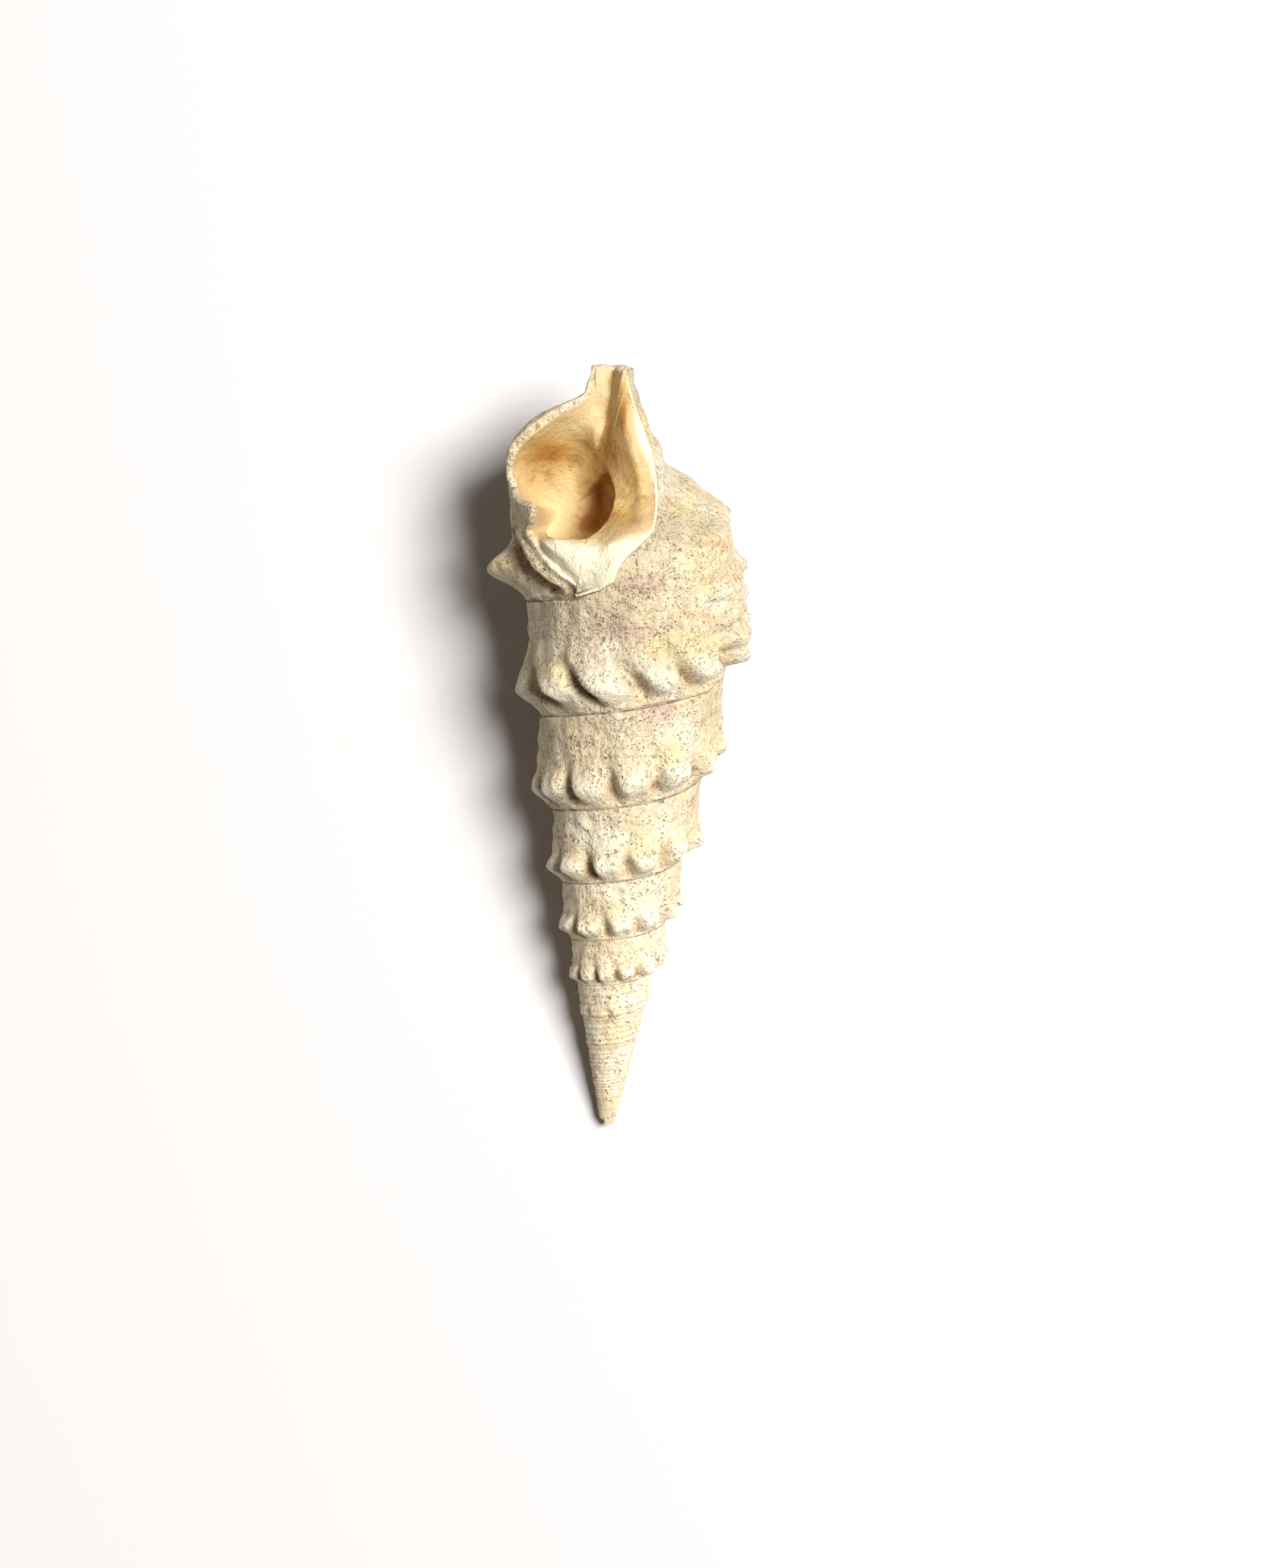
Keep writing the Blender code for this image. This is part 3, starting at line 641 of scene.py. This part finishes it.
# %% Faces
TIP_ROUND = 0.12


def quads(grid):
    """Faces between neighbouring columns and rows of a grid of point numbers."""
    return np.stack((grid[:-1, :-1], grid[1:, :-1], grid[1:, 1:], grid[:-1, 1:]), axis=-1).reshape(-1, 4)


def skin_surface():
    """All points, quads and triangles of the closed skin, faces turned outwards."""
    whorls, base_grid = whorl_part[0], base_part[0]
    last, rows, down = len(whorls) - 1, len(ROWS), len(DOWN)
    whorl_id = np.arange(whorls.shape[0] * rows).reshape(-1, rows)
    base_id = whorl_id.size + np.arange((COLUMNS + 1) * (down + 1)).reshape(-1, down + 1)
    base_id[0, 0] = whorl_id[last, 0]
    next_turn = np.concatenate((whorl_id[COLUMNS:, 0], base_id[1:, 0]))
    grid = np.column_stack((whorl_id, next_turn))
    flat = np.concatenate((whorls.reshape(-1, 3), base_grid.reshape(-1, 3)))
    rim = np.concatenate((grid[last], base_id[-1, 1:], base_id[-2::-1, -1], base_id[0, -2:0:-1]))
    rings, heading = mouth(flat[rim])
    mouth_rings = len(rings)
    back, pole = bowl(rings[-1], heading)
    rings = rings + back
    four = [quads(grid), quads(base_id)]
    start, before = len(flat), rim
    for ring in rings:
        now = start + np.arange(len(ring))
        four.append(quads(np.column_stack((before, now))[np.r_[0:len(now), 0]][::-1]))
        start, before = start + len(now), now
    tip = np.concatenate((whorl_id[COLUMNS::-1, 0], whorl_id[0, 1:]))
    three = [np.column_stack((before, np.full(len(before), start), np.roll(before, -1))),
             np.column_stack((tip, np.roll(tip, -1), np.full(len(tip), start + 1)))]
    end = place_in_space(np.array(0.0), np.array(0.0), suture_height(np.array(FIRST_ANGLE)) - TIP_ROUND)
    points = np.concatenate([flat] + rings + [pole[None], end[None]])
    return points, np.concatenate(four), np.concatenate(three), len(flat), len(rim), mouth_rings


points, four, three, outer_count, rim_count, mouth_rings = skin_surface()
points[:, 2] = np.maximum(points[:, 2], 0.0)
print("points:", len(points), " faces:", len(four) + len(three))

# %% [markdown]
# ## Marks for the finish
#
# The finish changes with what a place on the shell is: a knob's worn top, a groove that holds
# dirt and painted shade, the painted shadow behind the lip's fold, the honey-coloured inside of the
# mouth with painted shade in its throat, a patch that the ground has stained. Painting would need an
# image. Numpy knows these places exactly, so they are written on the points as named attributes,
# and the material only has to read them. A patch is a round bell on the side that faces up, placed
# where the fossil has it.

# %% Marks that follow the growth
outer_angle = np.concatenate([part[1].ravel() for part in (whorl_part, base_part)])
outer_place = np.concatenate([part[2].ravel() for part in (whorl_part, base_part)])
inside_count = len(points) - outer_count


def with_inside(value, inside=0.0):
    """The value of every outer point, then one value for all points of the mouth and the tip."""
    return np.concatenate((value, np.full(inside_count, inside)))


def growth_marks():
    """Knob tops, grooves between knobs with the painted shadow behind the lip's fold, seams, and the turn and
    place that growth lines follow.
    """
    wave = knob_wave(outer_angle, outer_place)
    on_side = smooth((outer_angle - FIRST_KNOB_ANGLE) / 1300) * smooth((285 - outer_angle) / 20)
    on_side = (outer_place <= 1) * on_side
    row = bell((outer_place - 0.24) / 0.20) * on_side
    # Painted shadow of the lip's fold on the wall behind it, laid on together with the grooves.
    lip_fold_shadow = bell((before_lip(outer_angle, outer_place) - 21) / 9)
    lip_fold_shadow = lip_fold_shadow * smooth((0.75 - outer_place) / 0.2) * smooth((outer_place - 0.16) / 0.2)
    near_seam = bell((outer_place - 0.003) / 0.012) + bell((1 - outer_place) / 0.008) * (outer_angle < -26)
    return {
        "crest": with_inside(wave * row),
        "groove": with_inside((1 - wave) ** 2 * bell((outer_place - 0.18) / 0.14) * on_side + lip_fold_shadow),
        "seam": with_inside(np.clip(near_seam, 0, 1)),
        "turn": with_inside(outer_angle / TURN),
        "size": np.clip((points[:, 1] + 24) / 30, 0.25, 1.0),
        "place": with_inside(outer_place),
        "outside": with_inside(np.ones(outer_count)),
    }


print("points outside the mouth:", outer_count, " in it:", inside_count)

# %% Patches and the mouth's colours
PATCHES = {
    "mauve": ((1.76, 9.4, 1.5, 1.0), (1.5, 6.7, 1.3, 0.7), (-0.6, 6.9, 1.0, 0.8), (2.6, 2.4, 1.5, 0.7)),
    "grey": ((3.3, 12.4, 1.1, 0.9), (-3.0, 7.6, 2.2, 1.6), (-3.6, 0.9, 1.3, 1.6), (-3.4, -4.0, 1.2, 1.4),
             (1.2, 11.4, 0.8, 0.6), (-3.2, -8.5, 1.2, 1.5), (0.6, 8.0, 1.2, 0.8)),
    "yellow": ((-3.3, 4.2, 1.0, 1.1), (2.8, 6.0, 1.1, 0.9), (5.2, 6.0, 1.7, 1.0), (5.2, 10.9, 1.4, 2.4),
               (4.2, 14.2, 0.9, 0.7), (3.3, -0.1, 1.1, 1.0), (6.1, 0.3, 1.0, 1.6), (-6.6, 10.9, 1.0, 0.8),
               (2.0, -5.4, 1.2, 1.0), (1.9, 18.0, 0.8, 3.0), (-4.2, -0.8, 0.8, 0.9)),
    "orange": ((6.4, 10.05, 1.7, 0.34), (5.6, 7.75, 2.0, 0.34), (5.9, 11.9, 1.3, 0.30)),
}
CREST = ((-3.0, 12.0), (-1.87, 11.7), (-0.16, 11.65), (1.98, 12.4), (2.66, 12.85))
WHITE_BORDER = ((12.9, 2.60), (14.5, 2.70), (15.0, 2.50), (16.5, 2.28), (17.85, 1.64), (19.9, 1.36),
                (21.4, 1.02))
# Honey spots; those under the crescent, along the canal's fold and high on the bowl's wall are darker as
# painted shade of the throat.
HONEY_AND_SHADE_SPOTS = ((0.7, 19.5, 0.5, 2.2, 0.78), (-0.1, 18.8, 0.35, 1.5, 0.60), (1.1, 15.8, 0.9, 1.6, 0.44),
               (2.0, 15.4, 0.7, 1.7, 0.40), (0.6, 13.4, 1.2, 0.9, 0.52), (-0.8, 14.9, 1.1, 1.7, 0.78),
               (-1.5, 13.3, 1.0, 0.8, 0.70), (-3.1, 17.5, 2.4, 1.0, 0.66), (-0.6, 17.2, 0.7, 1.0, 0.28),
               (-4.2, 16.0, 1.5, 1.8, 0.36), (-1.9, 9.6, 0.5, 0.6, 0.80))
AMBER_LEAST = 0.16


def patch(x, y, wide, high):
    """A bell round x, y in mm, wide by high."""
    return bell(np.hypot((points[:, 0] - x) / wide, (points[:, 1] - y) / high))


def mouth_marks():
    """Honey colour of the mouth with painted shade in its throat, bells that end at the crest and the white
    border; the pad; the lip's rim.
    """
    index = np.arange(inside_count) // rim_count
    within = np.concatenate((np.zeros(outer_count), index < mouth_rings + BOWL_RINGS))
    ring = np.concatenate((np.full(outer_count, -1.0), index))
    x, y = points[:, 0], points[:, 1]
    above_crest = smooth((y - np.interp(x, *np.transpose(CREST)) + 0.15) / 0.45)
    left_of_white = smooth((np.interp(y, *np.transpose(WHITE_BORDER)) - x + 0.1) / 0.35)
    honey_and_shade = AMBER_LEAST + sum(share * patch(px, py, wide, high) for px, py, wide, high, share in HONEY_AND_SHADE_SPOTS)
    inner = within * above_crest * left_of_white * (ring > 3)
    rim = np.exp(-((ring - 1.5) / 2.0) ** 2) * within
    rim[outer_count:] *= np.arange(inside_count) % rim_count <= len(ROWS) + len(DOWN)
    rim[:outer_count] = bell((outer_place - 1.5) / 0.6) * bell((outer_angle - 283) / 3.0)
    return {
        "honey_and_shade": np.clip(honey_and_shade, 0, 1) * inner,
        "mouth": inner,
        "pad": within * (1 - above_crest * left_of_white) * (ring > 0),
        "rim": rim * smooth((np.hypot(x - 2.5, y - 12) - 3.5) / 1.0),
    }


shell_marks = {**growth_marks(), **mouth_marks()}
seen_side = smooth((points[:, 2] - 2.5 - 0.09 * (points[:, 1] + 22)) / 2) * (1 - shell_marks["mouth"])
for patch_name, spots in PATCHES.items():
    shell_marks[patch_name] = np.clip(sum(patch(*spot) for spot in spots), 0, 1) * seen_side
print("marks:", ", ".join(shell_marks))

# %% [markdown]
# ## Worn stone surface
#
# Weathering has left the outside lumpy. A bump in the material would not show at the outline, so
# lumps wider than about a millimetre are real shape: the points move along their normals by a sum
# of waves. They are lower in the mouth and towards the tip. Smaller grain is left to the material.

# %% Mesh with lumps
MM = 0.001
CENTRE = np.array((0.5575, 0.0027, 0.0))
LUMP_HEIGHT, LUMP_PITCH = 0.065, 1.9
CRUMB_HEIGHT, CRUMB_PITCH = 0.055, 5.2


def lumps(where, pitch, seed, count=26):
    """Sum of sine waves in seeded directions of space, about -1 to 1; the pitch is in radians per mm."""
    rng = np.random.default_rng(seed)
    heading = rng.normal(size=(count, 3))
    heading = heading / np.linalg.norm(heading, axis=1)[:, None] * rng.uniform(0.6, 1.6, (count, 1)) * pitch
    return np.sin(where @ heading.T + rng.uniform(0, 2 * np.pi, count)).sum(axis=1) / np.sqrt(count)


def make_piece(name, points_mm, quad_faces, tri_faces, values):
    """One smooth mesh object at the origin from arrays of points, quads and triangles."""
    same = (quad_faces == np.roll(quad_faces, -1, axis=1)).any(axis=1)
    loops = np.concatenate((quad_faces[~same].ravel(), tri_faces.ravel()))
    four_count = (~same).sum()
    starts = np.concatenate((4 * np.arange(four_count), 4 * four_count + 3 * np.arange(len(tri_faces))))
    mesh = bpy.data.meshes.new(name)
    mesh.vertices.add(len(points_mm))
    mesh.vertices.foreach_set("co", ((points_mm - CENTRE) * MM).astype(np.float32).ravel())
    mesh.loops.add(len(loops))
    mesh.loops.foreach_set("vertex_index", loops.astype(np.int32))
    mesh.polygons.add(len(starts))
    mesh.polygons.foreach_set("loop_start", starts.astype(np.int32))
    mesh.update(calc_edges=True)
    mesh.validate()
    mesh.shade_smooth()
    for key, value in values.items():
        mesh.attributes.new(key, "FLOAT", "POINT").data.foreach_set("value", value.astype(np.float32))
    piece = bpy.data.objects.new(name, mesh)
    bpy.context.scene.collection.objects.link(piece)
    return piece


def push_out(mesh, amount_mm):
    """Moves every point along its normal by its own amount, and no lower than the floor."""
    normal = np.empty(3 * len(mesh.vertices), np.float32)
    mesh.vertex_normals.foreach_get("vector", normal)
    moved = points + normal.reshape(-1, 3) * amount_mm[:, None]
    moved[:, 2] = np.maximum(moved[:, 2], 0.0)
    mesh.vertices.foreach_set("co", ((moved - CENTRE) * MM).astype(np.float32).ravel())
    mesh.update()


shell = make_piece("shell_skin", points, four, three, shell_marks)
size_here = np.clip((points[:, 1] + 24) / 30, 0.15, 1)
roughness_here = size_here * (1 - 0.75 * shell_marks["mouth"]) * (1 - 0.45 * shell_marks["pad"])
waves = LUMP_HEIGHT * lumps(points, LUMP_PITCH, 11) + CRUMB_HEIGHT * lumps(points, CRUMB_PITCH, 12)
push_out(shell.data, waves * roughness_here)
print("triangles:", sum(len(p.vertices) - 2 for p in shell.data.polygons))

# %% [markdown]
# ## Chalky stone, honey inside
#
# The outside is dull, chalky and cream, in places yellow, grey or mauve, with tiny pits and fine
# growth lines, and dirt has stayed in the seams, the pits and the grooves. Shade is painted into the
# grooves, behind the lip's fold and in the low spots of the grain. Inside the mouth the shell is still
# smooth, honey-coloured and a little glossy, and painted shade darkens its throat. One material does
# all of it: colours are laid over each other, each held to its mark, and torn at the edges by a noise.

# %% Node helpers
material = bpy.data.materials.new("fossil_shell")
material.use_nodes = True
tree = material.node_tree


def node(kind, **settings):
    """A new node of that kind with its settings."""
    made = tree.nodes.new(kind)
    for key, value in settings.items():
        setattr(made, key, value)
    return made


def feed(socket, source):
    """Links a source into a socket, or sets the socket where the source is a number or a colour."""
    if isinstance(source, bpy.types.NodeSocket):
        tree.links.new(source, socket)
    elif np.ndim(source) and len(source) == 3 and socket.type == "RGBA":
        socket.default_value = (*source, 1)
    else:
        socket.default_value = source


def maths(operation, *values, clamp=False):
    """One Math node."""
    made = node("ShaderNodeMath", operation=operation, use_clamp=clamp)
    for socket, value in zip(made.inputs, values):
        feed(socket, value)
    return made.outputs[0]


def times(a, b):
    """a multiplied by b."""
    return maths("MULTIPLY", a, b)


def plus(a, b):
    """a and b added."""
    return maths("ADD", a, b)


def most(a, b):
    """The greater of a and b."""
    return maths("MAXIMUM", a, b)


def minus(a, b):
    """b taken from a."""
    return maths("SUBTRACT", a, b)


def mark(name):
    """The named attribute as a number."""
    return node("ShaderNodeAttribute", attribute_name=name).outputs["Fac"]


def noise(vector, scale, detail=4.0, rough=0.55):
    """Noise from 0 to 1, scale in cells for each metre."""
    made = node("ShaderNodeTexNoise")
    for key, value in (("Vector", vector), ("Scale", scale), ("Detail", detail), ("Roughness", rough)):
        feed(made.inputs[key], value)
    return made.outputs["Fac"]


def between(value, low, high):
    """0 at low, 1 at high, clamped and smooth."""
    made = node("ShaderNodeMapRange", interpolation_type="SMOOTHSTEP")
    for socket, number in zip(made.inputs, (value, low, high, 0.0, 1.0)):
        feed(socket, number)
    return made.outputs[0]


def over(under, share, colour):
    """A colour laid over another by its share."""
    made = node("ShaderNodeMix", data_type="RGBA")
    feed(made.inputs[0], share)
    feed(made.inputs[6], under)
    feed(made.inputs[7], colour)
    return made.outputs[2]


# %% Noises and marks
BROAD, MIDDLE, FINE = 260.0, 900.0, 2800.0
here = node("ShaderNodeTexCoord").outputs["Object"]
broad = noise(here, BROAD, 5.0, 0.6)
middle = noise(here, MIDDLE, 6.0, 0.62)
fine = noise(here, FINE, 5.0, 0.68)
outside_mark = mark("outside")
mouth_mark = mark("mouth")
honey_and_shade_mark = mark("honey_and_shade")
pad_mark = mark("pad")
size_mark = mark("size")
print("widths of the noises' cells, mm:", [round(1000 / scale, 1) for scale in (BROAD, MIDDLE, FINE)])

# %% Pits and growth lines
LINES_ROUND, LINES_ACROSS = 46.0, 3.2


def pits(scale, radius, kept):
    """Crumbly pits: near the points of a Voronoi pattern pushed about by noise, kept where noise is high."""
    cells = node("ShaderNodeTexVoronoi", feature="F1")
    push = node("ShaderNodeTexNoise")
    feed(push.inputs["Vector"], here)
    feed(push.inputs["Scale"], scale * 1.6)
    shift = node("ShaderNodeVectorMath", operation="MULTIPLY_ADD")
    feed(shift.inputs[0], push.outputs["Color"])
    shift.inputs[1].default_value = (0.7 / scale,) * 3
    feed(shift.inputs[2], here)
    feed(cells.inputs["Vector"], shift.outputs[0])
    feed(cells.inputs["Scale"], scale)
    feed(cells.inputs["Randomness"], 1.0)
    hole = between(cells.outputs["Distance"], radius, radius * 0.45)
    return times(hole, between(noise(here, scale * 0.22, 2.0), kept, kept + 0.10))


def growth_lines():
    """Fine wrinkles along the old mouth's edge: noise squeezed along the turn, drawn out across the whorl."""
    line = node("ShaderNodeCombineXYZ")
    feed(line.inputs[0], times(mark("turn"), LINES_ROUND))
    feed(line.inputs[1], times(mark("place"), LINES_ACROSS))
    return noise(line.outputs[0], 1.6, 5.0, 0.6)


pitted_zone = most(mark("mauve"), times(mark("grey"), 0.6))
pitted_zone = plus(times(pitted_zone, 0.55), 0.45)
big_pits = pits(2100.0, 0.30, 0.53)
small_pits = pits(4600.0, 0.36, 0.45)
pitted = most(times(big_pits, 0.8), times(small_pits, 0.6))
pitted = times(pitted, plus(times(outside_mark, 0.85), 0.15))
lines = growth_lines()
print("nodes for noises and pits:", len(tree.nodes))

# %% [markdown]
# ## Colours, layer by layer
#
# A fossil's colour is never one colour: chalk lies on cream, and the ground has stained it. So the
# colours are laid over each other as washes of paint would be, from the broad ones to the dirt in
# the pits. Each has its own share and is held to its mark, and the edge of a mark is torn by
# adding a noise before it is cut off.

# %% Colours
CREAM, CHALK, TAN = (0.82, 0.69, 0.46), (0.91, 0.83, 0.63), (0.60, 0.43, 0.235)
YELLOW, ORANGE = (0.88, 0.75, 0.42), (0.82, 0.54, 0.30)
MAUVE, GREY = (0.68, 0.50, 0.38), (0.68, 0.58, 0.42)
WHITE, CREST_WHITE = (0.93, 0.85, 0.62), (0.93, 0.87, 0.68)
# Three of the darkest browns are painted shade: in the throat, in the grooves along with dirt, and in the
# grain's low spots.
FLOOR_CREAM, HONEY, DEEP_SHADE_BROWN = (0.75, 0.58, 0.33), (0.53, 0.32, 0.075), (0.40, 0.145, 0.022)
STAIN, DIRT_AND_SHADE, GRAIN_SHADE_BROWN = (0.26, 0.12, 0.03), (0.30, 0.14, 0.05), (0.42, 0.24, 0.11)


def torn(name, strength=1.0, ragged=0.55):
    """A mark whose soft edge is torn by the middle noise."""
    lifted = plus(mark(name), times(minus(middle, 0.5), ragged))
    return times(between(lifted, 0.25, 0.85), strength)


colour = over(CREAM, between(broad, 0.42, 0.66), CHALK)
tan_share = times(between(middle, 0.52, 0.72), size_mark)
colour = over(colour, times(tan_share, 0.48), TAN)
colour = over(colour, torn("grey", 0.60), GREY)
colour = over(colour, torn("mauve", 0.65), MAUVE)
colour = over(colour, torn("yellow", 0.80), YELLOW)
colour = over(colour, torn("orange", 0.70, 0.8), ORANGE)
line_dark = times(between(lines, 0.50, 0.36), times(outside_mark, size_mark))
colour = over(colour, times(line_dark, 0.28), TAN)
# Painted shade: a warm brown in the low spots of the fine grain, where its bump is lowest.
grain_shade = times(between(fine, 0.49, 0.36), pitted_zone)
colour = over(colour, times(grain_shade, 0.85), GRAIN_SHADE_BROWN)
colour = over(colour, torn("crest", 0.75), CREST_WHITE)
colour = over(colour, times(pad_mark, 0.85), WHITE)
print("nodes with the outside's colours:", len(tree.nodes))

# %% Colours of the mouth, painted shade and dirt
inside_colour = over(FLOOR_CREAM, honey_and_shade_mark, HONEY)
# Painted shade: where the honey mark is highest, under the crescent, a dark brown is laid over it.
painted_deep_shade = times(between(honey_and_shade_mark, 0.70, 1.0), 0.85)
inside_colour = over(inside_colour, painted_deep_shade, DEEP_SHADE_BROWN)
stain = times(between(middle, 0.50, 0.64), between(honey_and_shade_mark, 0.30, 0.7))
inside_colour = over(inside_colour, times(stain, 0.50), STAIN)
colour = over(colour, mouth_mark, inside_colour)
rim_speck = times(between(fine, 0.52, 0.60), mark("rim"))
colour = over(colour, times(rim_speck, 0.75), STAIN)
# Dark brown in the seams and pits is dirt; in the grooves between knobs it is dirt and painted shade, and
# behind the lip's fold it is painted shadow.
dirt_and_shade = times(mark("seam"), between(middle, 0.46, 0.62))
dirt_and_shade = times(dirt_and_shade, between(broad, 0.40, 0.58))
dirt_and_shade = most(dirt_and_shade, times(torn("groove", 0.75), between(middle, 0.38, 0.6)))
dirt_and_shade = most(dirt_and_shade, times(times(pitted, pitted_zone), 0.85))
colour = over(colour, times(dirt_and_shade, 0.85), DIRT_AND_SHADE)
print("nodes with all colours:", len(tree.nodes))

# %% [markdown]
# ## Relief and gloss
#
# The smallest lumps, lines and pits would need millions of faces, so they are bumps: heights that
# only turn the light. Each noise is taken about its middle, because a bump that starts at half its
# height would draw a line where its mark begins. The honey-coloured inside keeps some gloss.

# %% Relief
RELIEF = (("middle", 0.00046), ("lines", 0.00028), ("fine", 0.00021), ("pits", 0.00020))


def relief():
    """Bumps on bumps, each a height in metres: middle lumps, growth lines, fine grain and pits."""
    chalky = minus(1.0, times(mouth_mark, 0.62))
    chalky = minus(chalky, times(pad_mark, 0.55))
    chalky = times(chalky, size_mark)
    ribbed = times(outside_mark, size_mark)
    parts = {
        "middle": times(minus(middle, 0.5), chalky),
        "lines": times(minus(lines, 0.5), ribbed),
        "fine": times(minus(fine, 0.5), chalky),
        "pits": minus(1.0, pitted),
    }
    normal = None
    for name, height in RELIEF:
        bump = node("ShaderNodeBump")
        bump.inputs["Strength"].default_value = 1.0
        bump.inputs["Distance"].default_value = height
        feed(bump.inputs["Height"], parts[name])
        if normal is not None:
            feed(bump.inputs["Normal"], normal)
        normal = bump.outputs["Normal"]
    return normal


print("deepest bump, mm:", 1000 * max(height for _, height in RELIEF))

# %% Shader
DULL, MOUTH_GLOSS, AMBER_GLOSS, GRAIN = 0.88, 0.12, 0.75, 0.18
gloss = plus(times(honey_and_shade_mark, AMBER_GLOSS), MOUTH_GLOSS)
gloss = times(mouth_mark, times(gloss, minus(1.0, painted_deep_shade)))
rough = minus(DULL, gloss)
rough = maths("ADD", rough, times(minus(fine, 0.5), GRAIN), clamp=True)
shader = tree.nodes["Principled BSDF"]
feed(shader.inputs["Base Color"], colour)
feed(shader.inputs["Roughness"], rough)
feed(shader.inputs["Normal"], relief())
shell.data.materials.append(material)
print("nodes in the whole material:", len(tree.nodes))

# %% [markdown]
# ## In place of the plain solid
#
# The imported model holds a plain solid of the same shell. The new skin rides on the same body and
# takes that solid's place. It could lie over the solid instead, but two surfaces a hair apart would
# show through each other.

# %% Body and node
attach(shell, "root")
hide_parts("shell")
print("the skin stands in for the node: shell")

# %% [markdown]
# ## Floor and light
#
# The fossil lies on a pale surface beside a bright window at the right, which throws a soft
# shadow to the left. One square lamp gives that shadow: the larger it is, the softer the edge. A
# weak, warm world light fills the shadow, as the walls of a room would.

# %% Pale floor
FLOOR_HALF = 2.0
PALE = (0.70, 0.69, 0.70)
floor_mesh = bpy.data.meshes.new("floor")
corners = FLOOR_HALF * np.array(((-1, -1, 0), (1, -1, 0), (1, 1, 0), (-1, 1, 0)))
floor_mesh.from_pydata(corners.tolist(), [], [(0, 1, 2, 3)])
floor = bpy.data.objects.new("floor", floor_mesh)
bpy.context.scene.collection.objects.link(floor)
floor_material = bpy.data.materials.new("pale_floor")
floor_material.use_nodes = True
floor_shader = floor_material.node_tree.nodes["Principled BSDF"]
floor_shader.inputs["Base Color"].default_value = (*PALE, 1)
floor_shader.inputs["Roughness"].default_value = 0.9
floor_shader.inputs["Specular IOR Level"].default_value = 0.1
floor_mesh.materials.append(floor_material)
print("floor, m:", 2 * FLOOR_HALF)


# %% Window and room
WINDOW_PLACE, WINDOW_SIZE, WINDOW_POWER = (0.34, 0.12, 0.70), 0.32, 10.4
WINDOW_COLOUR = (1.0, 0.985, 0.96)
ROOM_COLOUR, ROOM_STRENGTH = (1.0, 0.79, 0.70), 0.074


def area_light(name, place, size, power, colour):
    """A square soft light at a place in metres, facing the shell."""
    data = bpy.data.lights.new(name, "AREA")
    data.size, data.energy, data.color = size, power, colour
    lamp = bpy.data.objects.new(name, data)
    lamp.location = place
    lamp.rotation_euler = (-lamp.location).to_track_quat("-Z", "Y").to_euler()
    bpy.context.scene.collection.objects.link(lamp)


area_light("window", WINDOW_PLACE, WINDOW_SIZE, WINDOW_POWER, WINDOW_COLOUR)
world = bpy.data.worlds.new("room")
world.use_nodes = True
world.node_tree.nodes["Background"].inputs["Color"].default_value = (*ROOM_COLOUR, 1)
world.node_tree.nodes["Background"].inputs["Strength"].default_value = ROOM_STRENGTH
bpy.context.scene.world = world
bpy.context.scene.view_settings.view_transform = "Standard"
